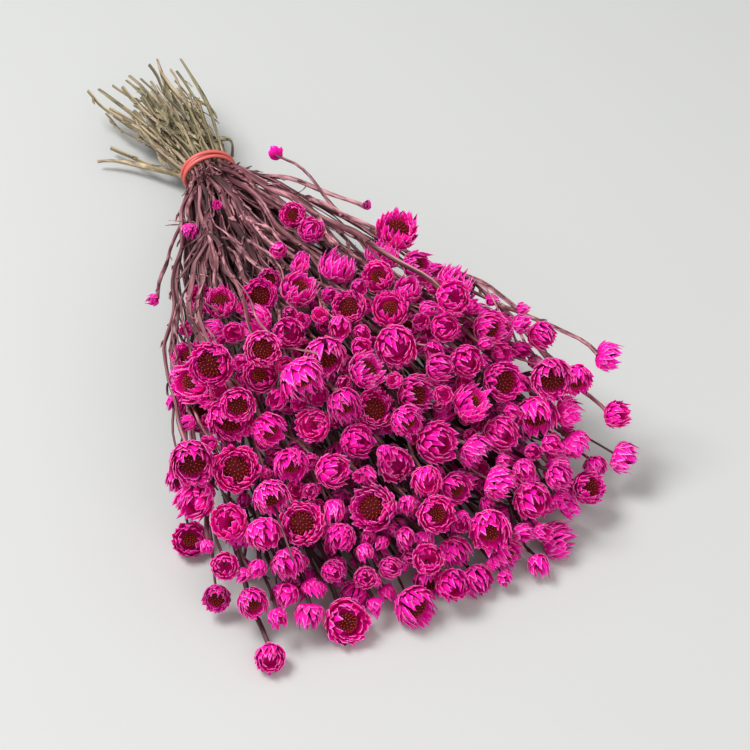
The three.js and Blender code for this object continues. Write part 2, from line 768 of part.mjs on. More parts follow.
// The stems as paths, with their cut ends; their tips come later
function addStems(bunch, stems) {
  stems.forEach((stem, index) => {
    const all = LEVELS.map((reach, level) => ({ reach, x: stem.xs[level], z: stem.zs[level] }));
    const cut = { reach: -stem.tail, ...placeOn(all, -stem.tail) };
    const knots = [cut, ...all.filter((knot) => knot.reach > cut.reach + CUT_CLEAR)];
    const sure = frontAt(stem.across, stem.up) - TIP_SETBACK - TIP_BEND;
    stem.path = bunch.paths.length;
    bunch.addPath({
      knots,
      start: cut.reach,
      rooted: 0,
      end: LEVELS[LEVELS.length - 1],
      spray: index,
      twist: stem.twist,
      slotAcross: stem.slotAcross,
      slotUp: stem.slotUp,
    }, samplesOf(knots, cut.reach, sure));
  });
}

function layBunch() {
  const bunch = new Bunch();
  const marks = layMarks();
  const stems = layStems(marks);
  addStems(bunch, stems);
  addBackTwig(bunch);
  marks.sort((a, b) => a.reach - b.reach);
  marks.forEach((mark) => addMark(bunch, mark));
  const draw = drawsFrom(HEAD_SEED);
  stems.forEach((stem) => addTip(bunch, stem, draw));
  for (const round of SIDE_ROUNDS) {
    for (let attempt = 0; attempt < round.tries; attempt += 1) {
      if (bunch.heads.length < HEAD_TOTAL) addSide(bunch, round, draw);
    }
  }
  return bunch;
}

// Skins a row of rings, each a list of points that runs anticlockwise seen from the tip
class Skin {
  constructor() {
    this.points = [];
    this.faces = [];
  }

  ring(points) {
    const first = this.points.length;
    this.points.push(...points);
    return points.map((_, index) => first + index);
  }

  close(ring) {
    for (let i = 1; i < ring.length - 1; i += 1) this.faces.push(ring[0], ring[i], ring[i + 1]);
  }

  pole(ring, point) {
    const [tip] = this.ring([point]);
    ring.forEach((at, i) => this.faces.push(at, ring[(i + 1) % ring.length], tip));
  }

  // Joins two rings that may have different numbers of points
  join(low, high) {
    let i = 0;
    let j = 0;
    while (i < low.length || j < high.length) {
      const a = low[i % low.length];
      const b = high[j % high.length];
      const lowFirst = (i + 1) / low.length <= (j + 1) / high.length + 1e-9;
      if (j >= high.length || (i < low.length && lowFirst)) {
        this.faces.push(a, low[(i + 1) % low.length], b);
        i += 1;
      } else {
        this.faces.push(a, high[(j + 1) % high.length], b);
        j += 1;
      }
    }
  }

  solid() {
    const vertProperties = new Float32Array(this.points.length * 3);
    this.points.forEach((point, index) => point.toArray(vertProperties, 3 * index));
    return solidFrom(vertProperties, this.faces);
  }
}

function solidFrom(vertProperties, faces) {
  const triVerts = new Uint32Array(faces);
  return new wasm.Manifold(new wasm.Mesh({ numProp: 3, vertProperties, triVerts }));
}

// Two directions square to an axis, the first as near as it can be to a wish
function crossAxes(axis, wish) {
  const u = wish.clone().addScaledVector(axis, -wish.dot(axis)).normalize();
  return [u, new THREE.Vector3().crossVectors(axis, u)];
}

function ellipse(middle, u, v, wide, thin, sides) {
  const ring = [];
  for (let side = 0; side < sides; side += 1) {
    const angle = (2 * Math.PI * side) / sides;
    ring.push(middle.clone()
      .addScaledVector(u, wide * Math.cos(angle))
      .addScaledVector(v, thin * Math.sin(angle)));
  }
  return ring;
}

// A tube through knots, its half widths given by a rule; returns its last ring
function growTube(skin, knots, twist, sides, sizeAt) {
  const points = knots.map((knot) => new THREE.Vector3(knot.x, -knot.reach, knot.z));
  const wish = new THREE.Vector3(Math.cos(twist), 0, Math.sin(twist));
  let low = null;
  points.forEach((point, index) => {
    const before = points[Math.max(0, index - 1)];
    const after = points[Math.min(points.length - 1, index + 1)];
    const axis = after.clone().sub(before).normalize();
    const [u, v] = crossAxes(axis, wish);
    const [wide, thin] = sizeAt(index, knots[index].reach);
    const ring = skin.ring(ellipse(point, u, v, wide, thin, sides));
    if (low) skin.join(low, ring);
    else skin.close([...ring].reverse());
    low = ring;
  });
  return low;
}

// Whorls of a head as shares of its diameter: points, then how far out and up they lie,
// first for the bract tips and then for the notches between them
const WHORLS = {
  open: [[10, 0.5, 0.3, 0.38, 0.2], [10, 0.37, 0.62, 0.3, 0.5], [5, 0.2, 0.4]],
  closed: [[8, 0.5, 0.3, 0.4, 0.2], [6, 0.24, 0.7, 0.32, 0.58]],
  bud: [[4, 0.5, 0.36], [4, 0.34, 0.75]],
};
const POLE = { open: 0.48, closed: 0.6, bud: 1.05 };

// The bracts and the disc of a head, on top of its stem's last ring
function growHead(skin, last, head, twist) {
  const wish = new THREE.Vector3(Math.cos(twist), 0, Math.sin(twist));
  const [u, v] = crossAxes(head.axis, wish);
  const base = new THREE.Vector3(head.x, -head.reach, head.z)
    .addScaledVector(head.axis, -HEAD_LIFT * head.size);
  let low = last;
  for (const [count, tipOut, tipUp, notchOut = tipOut, notchUp = tipUp] of WHORLS[head.kind]) {
    const tips = ellipse(base, u, v, head.size * tipOut, head.size * tipOut, count);
    const notches = ellipse(base, u, v, head.size * notchOut, head.size * notchOut, count);
    const ring = tips.map((tip, index) => {
      const point = index % 2 ? notches[index] : tip;
      return point.addScaledVector(head.axis, head.size * (index % 2 ? notchUp : tipUp));
    });
    const high = skin.ring(ring);
    skin.join(low, high);
    low = high;
  }
  skin.pole(low, base.clone().addScaledVector(head.axis, head.size * POLE[head.kind]));
}

function stemSize(reach) {
  const wide = STEM_WIDE + (STEM_TIP - STEM_WIDE) * smooth(reach / STEM_TAPER_REACH);
  return [wide, Math.min(wide, STEM_THIN)];
}

function branchSize(index, count) {
  if (index === 0) return [BRANCH_ROOT, BRANCH_ROOT];
  const half = BRANCH_FULL + ((BRANCH_TIP - BRANCH_FULL) * index) / (count - 1);
  return [half, half];
}

// Knots without those that lie almost on the line between their neighbours
function plainKnots(knots) {
  const kept = [knots[0]];
  for (let index = 1; index < knots.length - 1; index += 1) {
    const on = placeOn([kept[kept.length - 1], knots[index + 1]], knots[index].reach);
    const off = Math.hypot(on.x - knots[index].x, on.z - knots[index].z);
    if (off > KNOT_OFF) kept.push(knots[index]);
  }
  kept.push(knots[knots.length - 1]);
  return kept;
}

// One stem or branch with the head at its end, as one closed solid
function growPath(path) {
  const isStem = path.parent === undefined;
  const knots = plainKnots(path.knots);
  const sides = isStem ? STEM_SIDES : BRANCH_SIDES;
  const sizeAt = (index, reach) => (
    isStem ? stemSize(reach) : branchSize(index, knots.length)
  );
  const skin = new Skin();
  const last = growTube(skin, knots, path.twist, sides, sizeAt);
  if (path.head) growHead(skin, last, path.head, path.twist);
  else skin.close(last);
  return skin.solid();
}

// A dry leaf scrap on an outer stem, arched outwards and pointing up the stem
function growLeaf(path, root) {
  const out = Math.hypot(path.slotAcross, path.slotUp);
  const outX = path.slotAcross / out;
  const outZ = path.slotUp / out;
  const knots = LEAF_SHARES.map((share) => {
    const reach = root + LEAF_LENGTH * share;
    const place = placeOn(path.knots, reach);
    const flare = LEAF_FLARE * LEAF_LENGTH * share * (1 + LEAF_ARCH * (1 - share));
    return { reach, x: place.x + flare * outX, z: place.z + flare * outZ };
  });
  const skin = new Skin();
  const acrossOut = Math.atan2(outX, -outZ);
  const last = growTube(skin, knots, acrossOut, STEM_SIDES, (index) => (
    [LEAF_WIDE[index], LEAF_THICK]
  ));
  const end = knots[knots.length - 1];
  skin.pole(last, new THREE.Vector3(
    end.x + LEAF_TIP_OUT * LEAF_LENGTH * outX,
    -(end.reach + LEAF_TIP_ON * LEAF_LENGTH),
    end.z + LEAF_TIP_OUT * LEAF_LENGTH * outZ,
  ));
  return skin.solid();
}

// Where the leaf scraps of a stem sit, by its place at the tie
function leafRoots(path) {
  const out = Math.hypot(path.slotAcross, path.slotUp);
  if (out < LEAF_RING || path.slotUp < LEAF_LOWEST || path.spray % LEAF_SPACING) return [];
  const below = LEAF_BELOW + LEAF_BELOW_STRAY * Math.sin(7 * path.spray);
  return path.spray % 3 ? [below] : [below, LEAF_ABOVE];
}

// The room over the surface that the bunch lies on, which cuts the lowest heads flat
function roomOverSurface() {
  const box = new THREE.BoxGeometry(ROOM_SIZE, ROOM_SIZE, ROOM_SIZE);
  box.translate(0, 0, ROOM_SIZE / 2);
  return solidOf(box);
}

// A three.js geometry as a solid, with the points that share a place joined
function solidOf(geometry) {
  const place = geometry.getAttribute('position');
  const names = new Map();
  const points = [];
  const renamed = [];
  for (let index = 0; index < place.count; index += 1) {
    const point = [place.getX(index), place.getY(index), place.getZ(index)];
    const key = point.map((value) => value.toFixed(4)).join();
    if (!names.has(key)) {
      names.set(key, points.length / 3);
      points.push(...point);
    }
    renamed.push(names.get(key));
  }
  const faces = Array.from(geometry.index.array, (index) => renamed[index]);
  return solidFrom(new Float32Array(points), faces);
}

function geometryOf(solid) {
  const mesh = solid.getMesh();
  const geometry = new THREE.BufferGeometry();
  const points = new Float32Array(mesh.vertProperties);
  geometry.setAttribute('position', new THREE.BufferAttribute(points, 3));
  geometry.setIndex(new THREE.BufferAttribute(new Uint32Array(mesh.triVerts), 1));
  geometry.computeVertexNormals();
  return geometry;
}

function plainMaterial(color, roughness) {
  return new THREE.MeshStandardMaterial({ color, roughness, metalness: 0 });
}

// The strand's route: three turns that slowly pass over and beside each other
class BandCurve extends THREE.Curve {
  getPoint(t) {
    const round = 2 * Math.PI * BAND_TURNS * t;
    const over = 2 * Math.PI * t;
    const radius = BAND_RING + BAND_STEP_OUT * Math.cos(over);
    return new THREE.Vector3(
      radius * Math.cos(round),
      BAND_STEP_ALONG * Math.sin(over),
      TIE_HEIGHT + radius * Math.sin(round),
    );
  }
}

function bandMesh() {
  const route = new BandCurve();
  const tube = new THREE.TubeGeometry(route, BAND_SEGMENTS, BAND_STRAND, BAND_SIDES, true);
  const material = plainMaterial(BAND_COLOUR, 0.75);
  const mesh = new THREE.Mesh(geometryOf(solidOf(tube)), material);
  mesh.name = 'band';
  return mesh;
}

// One stem with all its branches, heads and leaf scraps
function sprayMesh(bunch, number, room) {
  const paths = bunch.paths.filter((path) => path.spray === number);
  const pieces = paths.map(growPath);
  pieces.push(...leafRoots(paths[0]).map((root) => growLeaf(paths[0], root)));
  const whole = pieces.reduce((joined, piece) => joined.add(piece));
  const material = plainMaterial(BRACT_COLOUR, 0.8);
  const mesh = new THREE.Mesh(geometryOf(whole.intersect(room)), material);
  mesh.name = `spray_${String(number + 1).padStart(2, '0')}`;
  return mesh;
}

// The whole bunch, moved so that its origin is under the middle of its box
function buildBunch() {
  const bunch = layBunch();
  const room = roomOverSurface();
  const group = new THREE.Group();
  for (let number = 0; number < STEM_COUNT; number += 1) {
    group.add(sprayMesh(bunch, number, room));
  }
  group.add(bandMesh());
  const box = new THREE.Box3().setFromObject(group);
  const middle = box.getCenter(new THREE.Vector3());
  group.position.set(-middle.x, -middle.y, -box.min.z);
  return group;
}

const group = buildBunch();

export default group;
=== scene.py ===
# %% [markdown]
# A tied bunch of dried winged everlasting
#
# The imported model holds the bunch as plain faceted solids: 52 sprays and a rubber band.
# This lesson dresses it. The stems get their thin wings, and each head gets its papery
# bracts, made once for a few kinds of head and then copied to every place.
#
# Everything is in metres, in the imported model's own frame, with +Z up.

import json
import math
import random

import bmesh
import bpy
from mathutils import Matrix, Vector

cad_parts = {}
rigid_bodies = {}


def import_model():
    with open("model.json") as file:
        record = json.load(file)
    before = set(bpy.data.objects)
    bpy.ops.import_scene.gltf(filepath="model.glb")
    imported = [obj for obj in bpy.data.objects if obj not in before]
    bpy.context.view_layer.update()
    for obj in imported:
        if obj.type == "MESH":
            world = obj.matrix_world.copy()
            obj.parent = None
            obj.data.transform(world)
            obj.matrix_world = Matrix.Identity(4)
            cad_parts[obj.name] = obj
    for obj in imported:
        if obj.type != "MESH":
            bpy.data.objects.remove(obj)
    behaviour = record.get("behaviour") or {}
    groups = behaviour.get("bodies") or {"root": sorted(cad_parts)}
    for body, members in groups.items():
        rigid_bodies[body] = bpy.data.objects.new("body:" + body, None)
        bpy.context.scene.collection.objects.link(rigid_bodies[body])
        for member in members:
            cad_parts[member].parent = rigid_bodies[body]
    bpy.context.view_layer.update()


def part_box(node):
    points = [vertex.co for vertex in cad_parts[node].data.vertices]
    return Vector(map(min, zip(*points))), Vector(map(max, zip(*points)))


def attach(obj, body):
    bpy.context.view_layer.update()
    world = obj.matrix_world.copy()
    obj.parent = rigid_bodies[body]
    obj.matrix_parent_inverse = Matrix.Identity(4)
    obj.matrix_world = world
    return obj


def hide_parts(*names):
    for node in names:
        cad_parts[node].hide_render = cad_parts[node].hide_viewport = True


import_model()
scene = bpy.context.scene

# %% [markdown]
# Where everything grows
#
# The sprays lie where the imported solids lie, so the same rule is worked through again here.
# It packs 52 stems round the tie, fans them out, eases them apart until none touch, and
# then puts a head on each stem and on side branches wherever a head has room. Placing some
# 200 stalks by hand would take days, and a rule gives them in seconds. Its draws come from
# a short number stream with fixed seeds, so each run gives the same bunch.
#
# The rule works in millimetres. A place is given by x across the bunch, its reach from the
# tie towards the heads, and its height z over the surface.

# %% Sizes of the bunch
STEM_COUNT = 52
TIE_RADIUS = 11.2
TIE_HEIGHT = 21.5
GOLDEN_ANGLE = 2.399963


def draws_from(seed):
    """A repeatable stream of numbers from 0 to 1."""
    state = seed
    while True:
        state = (state * 48271) % 2147483647
        yield state / 2147483647


def smooth(value):
    """Eases a value from 0 to 1."""
    t = min(1, max(0, value))
    return t * t * (3 - 2 * t)


print("stems:", STEM_COUNT, "tie:", 2 * TIE_RADIUS, "mm across")

# %% [markdown]
# The fan is the outer form that the stems fill. From the tie it widens to the crown's
# shoulder and then droops, and its round section grows squarer, as a bunch does that lies
# on a table. Behind the tie the cut ends spread a little and sink.

# %% The fan
SHOULDER_REACH = 190
FAN_SPREAD, FAN_SPREAD_FRONT, FAN_LEAN_FRONT = 0.345, 0.14, 0.17
FAN_RISE, FAN_DROOP, FAN_DROOP_REACH = 24.8, 9, 95
FAN_FLOOR, FAN_FLOOR_REACH = 5, 120
FAN_SQUARE, FAN_SQUARE_REACH = 3, 150
TAIL_SPREAD, TAIL_LEAN, TAIL_SINK, TAIL_THICKEN = 0.16, 0.13, 0.17, 0.1
FRONT_REACH, FRONT_CURVE_RIGHT, FRONT_CURVE_LEFT, TOP_SETBACK = 291, 36, 6, 85


def fan_at(reach):
    """Half width, half height, middle height and lean of the bunch at a reach."""
    under = TIE_HEIGHT - TIE_RADIUS
    if reach < 0:
        half = TIE_RADIUS - TAIL_THICKEN * reach
        middle = under + TAIL_SINK * reach + half
        return TIE_RADIUS - TAIL_SPREAD * reach, half, middle, TAIL_LEAN * reach
    past = max(0, reach - SHOULDER_REACH)
    droop = FAN_DROOP * (past / FAN_DROOP_REACH) * (past / FAN_DROOP_REACH)
    half = TIE_RADIUS + FAN_RISE * smooth(reach / SHOULDER_REACH) - droop
    floor = under + (FAN_FLOOR - under) * smooth(reach / FAN_FLOOR_REACH)
    width = TIE_RADIUS + FAN_SPREAD * (reach - past) + FAN_SPREAD_FRONT * past
    return width, half, floor + half, FAN_LEAN_FRONT * past


def fan_point(reach, across, up):
    """A place in the fan, whose round section grows squarer towards the heads."""
    width, height, middle, lean = fan_at(reach)
    size = math.hypot(across, up) or 1
    corner = (abs(across) / size) ** FAN_SQUARE + (abs(up) / size) ** FAN_SQUARE
    square = corner ** (-1 / FAN_SQUARE) if corner > 0 else 1
    bulge = 1 + (square - 1) * smooth(reach / FAN_SQUARE_REACH)
    return width * across * bulge + lean, middle + height * up * bulge


def front_at(across, up):
    """Reach of the crown's face at a place across the fan."""
    curve = FRONT_CURVE_RIGHT if across > 0 else FRONT_CURVE_LEFT
    rise = max(0, (up + 1) / 2)
    return FRONT_REACH - curve * across * across - TOP_SETBACK * rise * math.sqrt(rise)


print("width of the crown at its shoulder:", round(2 * fan_at(SHOULDER_REACH)[0]), "mm")

# %% [markdown]
# A head is a place with a size, a kind and the way it faces. Some heads mark the bunch's
# outline and its top, so they are listed one by one, and more are drawn on the crown's face
# and back. They come before the stems, because a stem can bend round a head, but a head
# that comes later only gets the room that is left.

# %% Kinds of heads and the way they face
KIND_SIZES = {"open": (13.5, 17.5), "closed": (12, 16), "bud": (5.5, 8.5), "bell": (7, 10.5)}
OPEN_SHARE = 0.58
FACE_FRONT, FACE_OUT, FACE_AHEAD, FACE_UP, FACE_STRAY = 60, 0.9, 0.45, (0.8, 0.25), 0.9


def draw_kind(buds, draw):
    pick = next(draw)
    if pick < buds:
        return "bud"
    return "open" if pick < buds + (1 - buds) * OPEN_SHARE else "closed"


def draw_size(kind, draw):
    least, most = KIND_SIZES[kind]
    return least + (most - least) * next(draw)


def unit(x, y, z):
    long = math.sqrt(x * x + y * y + z * z)
    return x / long, y / long, z / long


def facing(across, up, reach, draw):
    """The way a head faces: out of the crown, and a little at random."""
    front = max(0, 1 - (front_at(across, up) - reach) / FACE_FRONT)
    right = FACE_OUT * across + FACE_STRAY * (next(draw) - 0.5)
    ahead = FACE_AHEAD + FACE_OUT * front + FACE_STRAY * (next(draw) - 0.5)
    top = FACE_UP[0] * up + FACE_UP[1] + FACE_STRAY * (next(draw) - 0.5)
    return unit(right, -ahead, top)


print("a large open head is", KIND_SIZES["open"][1], "mm across")

# %% Heads listed one by one
# Each is a place (across, reach, height), a size, a kind and the way it faces
MARK_HEADS = [
    (45, 140, 68, 17.5, "open", 0.2, 0.1, 1),
    (66, 185, 72, 14.5, "closed", 0.8, 0.4, 0.1),
    (75, 202, 64, 6, "bud", 0.9, 0.3, 0.2),
    (80, 212, 56, 13, "closed", 0.3, 0.7, 0.3),
    (100, 232, 55, 13, "open", 0.6, 0.7, 0),
    (88, 230, 44, 14, "open", 0.2, 0.9, 0.1),
    (100, 245, 34, 12.5, "closed", 0.8, 0.4, 0.3),
    (100, 254, 18, 14, "closed", 0.9, 0.3, 0.1),
    (80, 263, 16, 14.5, "open", 0.5, 0.8, 0.2),
    (60, 277, 7, 16, "open", 0.5, 0.8, 0.2),
    (52, 268, 24, 16.5, "closed", 0.2, 0.8, 0.5),
    (22, 284, 6, 14, "closed", 0.1, 0.9, 0.2),
    (31, 275, 22, 17.5, "open", 0, 0.9, 0.4),
    (-6, 289, 8, 17.5, "open", -0.1, 0.9, 0.3),
    (2, 282, 24, 12.5, "closed", 0, 0.8, 0.5),
    (-33, 287, 8, 18, "open", -0.2, 0.9, 0.2),
    (-65, 291, 5, 13, "closed", -0.2, 0.8, 0.4),
    (-74, 279, 5, 6.5, "bud", -0.4, 0.8, 0.1),
    (-65, 271, 15, 13, "open", -0.2, 0.8, -0.1),
    (-76, 260, 10, 11, "open", -0.7, 0.6, 0.1),
    (-72, 261, 28, 12, "closed", -0.3, 0.7, 0.6),
    (-52, 274, 18, 10, "bud", 0, 0.9, 0.2),
    (-66, 249, 38, 14.5, "closed", -0.2, 0.7, 0.7),
    (-76, 224, 6, 15.5, "open", -0.3, 0.7, 0.7),
    (-74, 215, 32, 14, "open", -0.1, 0.9, 0.3),
    (-58, 235, 50, 17.5, "open", 0, 0.6, 0.8),
    (-62, 194, 44, 16, "open", 0, 0.7, 0.7),
    (-54, 216, 58, 18, "open", -0.1, 0.9, 0.3),
    (-38, 206, 67, 15, "open", -0.3, 0.7, 0.7),
    (-56, 168, 50, 15, "open", -0.6, 0.5, 0.6),
    (-42, 135, 52, 13.5, "closed", -0.2, 0.6, 0.8),
    (-50, 140, 42, 8, "bud", -0.5, 0.6, 0.3),
    (-58, 116, 42, 6, "bud", -0.7, 0.5, 0.2),
    (-29, 72, 40, 9, "closed", -0.2, 0.6, -0.6),
    (-18, 44, 38, 5.5, "bud", -0.3, 0.5, 0.8),
    (-13, 62, 43, 5.5, "bud", -0.1, 0.6, 0.8),
    (12, 98, 56, 12.5, "open", -0.3, 0.6, 0.6),
    (-16, 150, 66, 10.5, "open", 0, 0.7, 0.7),
    (-24, 190, 72, 17.5, "open", 0.6, 0.7, 0.4),
    (-12, 208, 70, 17.5, "open", 0, 0.9, 0.4),
    (24, 172, 73, 14.5, "open", -0.2, 0.7, 0.7),
    (45, 176, 72, 11.5, "open", 0.6, 0.5, 0.4),
    (16, 212, 70, 18, "closed", -0.3, 0.8, 0.4),
    (51, 88, 44, 5, "bud", 0.3, 0.5, 0.6),
    (-38, 240, 50, 14.5, "open", 0.1, 0.8, 0.4),
    (-23, 246, 47, 14, "closed", -0.1, 0.9, 0.3),
    (-40, 258, 36, 17.5, "open", -0.1, 0.2, 1),
    (-33, 272, 21, 10, "closed", 0.1, 0.8, 0.5),
    (-22, 278, 19, 9.5, "closed", 0, 0.9, 0.4),
    (-11, 276, 18, 10, "closed", 0, 0.9, 0.3),
    (-49, 268, 28, 13, "closed", 0, 0.9, 0.2),
    (-12, 260, 36, 17.5, "open", -0.3, 0.7, 0.7),
    (10, 270, 34, 16, "open", -0.2, 0.8, 0.5),
    (20, 246, 47, 17.5, "closed", 0, 0.8, 0.4),
    (39, 235, 52, 17, "open", 0.4, 0.7, 0.5),
    (56, 228, 52, 17, "open", 0.1, 0.8, 0.4),
]
print("heads placed by eye:", len(MARK_HEADS))

# %% Heads on the crown's face and back
SHELL_SEED = 20419
SHELL_ROOM, SIDE_EDGE, FLOOR_DIP = 0.4, 0.93, 1.3
# Each round is a number of tries, the most heads, how deep they sit, the share of the
# middle that stays free, and the lowest place in the fan
SHELL_ROUNDS = [(1500, 34, 12, 0, -0.9), (1500, 34, 64, 0.86, -0.1)]


def far_apart(a, b, room):
    dx, dy, dz = a["x"] - b["x"], a["reach"] - b["reach"], a["z"] - b["z"]
    return dx * dx + dy * dy + dz * dz >= room * room


def lay_marks():
    marks = []
    for x, reach, z, size, kind, right, front, up in MARK_HEADS:
        axis = unit(right, -front, up)
        marks.append(dict(x=x, reach=reach, z=z, size=size, kind=kind, axis=axis))
    draw = draws_from(SHELL_SEED)
    for tries, most, deep, inner, lowest in SHELL_ROUNDS:
        full = len(marks) + most
        for _ in range(tries):
            kind = draw_kind(0, draw)
            size = draw_size(kind, draw)
            turn = 2 * math.pi * next(draw)
            out = SIDE_EDGE * (inner + (1 - inner) * math.sqrt(next(draw)))
            across, up = out * math.cos(turn), out * math.sin(turn)
            reach = front_at(across, up) - deep * next(draw)
            axis = facing(across, up, reach, draw)
            x, z = fan_point(reach, across, up)
            mark = dict(x=x, reach=reach, z=z, size=size, kind=kind, axis=axis)
            if len(marks) >= full or up <= lowest or z <= size / 2 - FLOOR_DIP:
                continue
            if all(far_apart(mark, o, size / 2 + o["size"] / 2 + SHELL_ROOM) for o in marks):
                marks.append(mark)
    return marks


marks = lay_marks()
print("heads placed before the stems:", len(marks))

# %% [markdown]
# Each stem is a list of bends at fixed levels along the bunch. It starts on its own line
# through the fan, with a slow sway. Then, over and over, touching stems push each other
# apart and every stem moves out of the heads that were placed first. A physics simulation
# could do the same, but this is faster and gives the same bunch every time.

# %% A stem's first course
LAY_SEED = 20261
TAIL_SHORT, TAIL_LONG = 56, 94
LEVELS = [-94, -60, -26, 0, 20, 48, 82, 118, 154, 190, 225, 260, 300]
TIE_LEVEL = LEVELS.index(0)
STRAY, STRAY_REACH, FAN_EDGE = 0.42, 150, 0.93
SWAY_LEAST, SWAY_MORE, SWAY_LENGTH, SWAY_LENGTH_MORE = 2, 4, 110, 90
SWAY_REACH, SWAY_TAIL, SWAY_UP = 90, 0.5, 0.7
LOOSE_ACROSS, LOOSE_UP, LOOSE_NEAR, LOOSE_OUT, LOOSE_REACH = -0.48, -0.76, 0.1, 34, 70


def rough_stem(index, draw):
    """A stem on its own line through the fan; one loose stem strays far out behind the tie."""
    radius = math.sqrt((index + 0.5) / STEM_COUNT)
    angle = index * GOLDEN_ANGLE
    slot = (radius * math.cos(angle), radius * math.sin(angle))
    turn = 2 * math.pi * next(draw)
    stray = STRAY * next(draw)
    across = slot[0] + stray * math.cos(turn)
    up = slot[1] + stray * math.sin(turn)
    far = max(FAN_EDGE, math.hypot(across, up))
    across *= FAN_EDGE / far
    up *= FAN_EDGE / far
    sway = SWAY_LEAST + SWAY_MORE * next(draw)
    sway_angle = 2 * math.pi * next(draw)
    sway_start = 2 * math.pi * next(draw)
    sway_length = SWAY_LENGTH + SWAY_LENGTH_MORE * next(draw)
    loose = math.hypot(slot[0] - LOOSE_ACROSS, slot[1] - LOOSE_UP) < LOOSE_NEAR
    xs, zs = [], []
    for reach in LEVELS:
        ease = smooth(reach / STRAY_REACH)
        x, z = fan_point(
            reach, slot[0] + (across - slot[0]) * ease, slot[1] + (up - slot[1]) * ease
        )
        wide = sway * (SWAY_TAIL if reach < 0 else 1) * smooth(abs(reach) / SWAY_REACH)
        swing = wide * math.sin(sway_start + (2 * math.pi * reach) / sway_length)
        out = LOOSE_OUT * smooth(-reach / LOOSE_REACH) if loose else 0
        xs.append(x + swing * math.cos(sway_angle) - out)
        zs.append(z + swing * math.sin(sway_angle) * SWAY_UP)
    tail = TAIL_SHORT + (0 if loose else TAIL_LONG - TAIL_SHORT) * next(draw)
    twist = math.pi * next(draw)
    return dict(slot=slot, across=across, up=up, xs=xs, zs=zs, tail=tail, twist=twist)


print("levels of a stem:", len(LEVELS))

# %% What moves a stem
MARK_ROOM, MARK_LOW, STRAIGHTEN = 2.5, 3, 0.06


def shift_span(stem, level, t, move_x, move_z):
    """Moves a stem between two levels; at the tie it stays where it is."""
    for at, share in ((level, 1 - t), (level + 1, t)):
        if at != TIE_LEVEL:
            stem["xs"][at] += move_x * share
            stem["zs"][at] += move_z * share


def part_pair(a, b, level, room):
    """Pushes two stems apart where they come closest between two levels."""
    ax, az, bx, bz = a["xs"], a["zs"], b["xs"], b["zs"]
    x0, z0 = ax[level] - bx[level], az[level] - bz[level]
    dx, dz = ax[level + 1] - bx[level + 1] - x0, az[level + 1] - bz[level + 1] - z0
    long = dx * dx + dz * dz
    t = min(1, max(0, -(x0 * dx + z0 * dz) / long)) if long > 0 else 0
    cx, cz = x0 + t * dx, z0 + t * dz
    near = math.sqrt(cx * cx + cz * cz)
    if near < room:
        push = (0.5 * (room - near)) / max(near, 0.01)
        shift_span(a, level, t, cx * push, cz * push)
        shift_span(b, level, t, -cx * push, -cz * push)


def clear_mark(stem, level, mark):
    """Moves a stem out of one of the heads that are placed first."""
    t = (mark["reach"] - LEVELS[level]) / (LEVELS[level + 1] - LEVELS[level])
    room = mark["size"] / 2 + MARK_ROOM
    xs, zs = stem["xs"], stem["zs"]
    dx = xs[level] + (xs[level + 1] - xs[level]) * t - mark["x"]
    dz = zs[level] + (zs[level + 1] - zs[level]) * t - mark["z"]
    near = max(0.1, math.sqrt(dx * dx + dz * dz))
    if near >= room:
        return
    share = t * t + (1 - t) * (1 - t) if level > TIE_LEVEL else t
    if mark["z"] < room + MARK_LOW and dz < 0:
        wide = math.sqrt(room * room - dz * dz) - abs(dx)
        shift_span(stem, level, t, ((-1 if dx < 0 else 1) * wide) / share, 0)
        return
    push = (room - near) / near / share
    shift_span(stem, level, t, dx * push, dz * push)


def straighten(stem):
    """Pulls each bend a little towards the line between its neighbours."""
    for values in (stem["xs"], stem["zs"]):
        for level in range(1, len(LEVELS) - 1):
            if level == TIE_LEVEL:
                continue
            span = LEVELS[level + 1] - LEVELS[level - 1]
            part = (LEVELS[level] - LEVELS[level - 1]) / span
            middle = values[level - 1] + (values[level + 1] - values[level - 1]) * part
            values[level] += STRAIGHTEN * (middle - values[level])


print("a stem keeps", MARK_ROOM, "mm clear of the heads that were placed first")

# %% Ease the stems apart
TIE_ZONE, STEM_ROOM_TIE, STEM_ROOM = 30, 2.72, 3.3
EASE_ROUNDS, STRAIGHTEN_ROUNDS = 90, 75
STEM_LOWEST, TAIL_LOWEST = 2, 0.7


def lay_stems(marks):
    draw = draws_from(LAY_SEED)
    stems = [rough_stem(index, draw) for index in range(STEM_COUNT)]
    spans = range(len(LEVELS) - 1)
    near_marks = {
        level: [m for m in marks if LEVELS[level] <= m["reach"] <= LEVELS[level + 1]]
        for level in range(TIE_LEVEL, len(LEVELS) - 1)
    }
    for round_ in range(EASE_ROUNDS):
        for level in spans:
            room = STEM_ROOM_TIE if abs(LEVELS[level]) < TIE_ZONE else STEM_ROOM
            for i in range(STEM_COUNT):
                for j in range(i):
                    part_pair(stems[i], stems[j], level, room)
        for stem in stems:
            if round_ < STRAIGHTEN_ROUNDS:
                straighten(stem)
            for level, some in near_marks.items():
                for mark in some:
                    clear_mark(stem, level, mark)
            for level in range(len(LEVELS)):
                lowest = STEM_LOWEST if level > TIE_LEVEL else TAIL_LOWEST
                stem["zs"][level] = max(stem["zs"][level], lowest)
    return stems


stems = lay_stems(marks)
print("stems laid:", len(stems))

# %% [markdown]
# Now the bunch can grow. A path is a stem or a branch: a list of knots, each with its
# reach, x and z. Samples of every path, 5 mm apart, show quickly what is in the way of a
# new head or branch.

# %% Paths and what is in their way
SAMPLE = 5


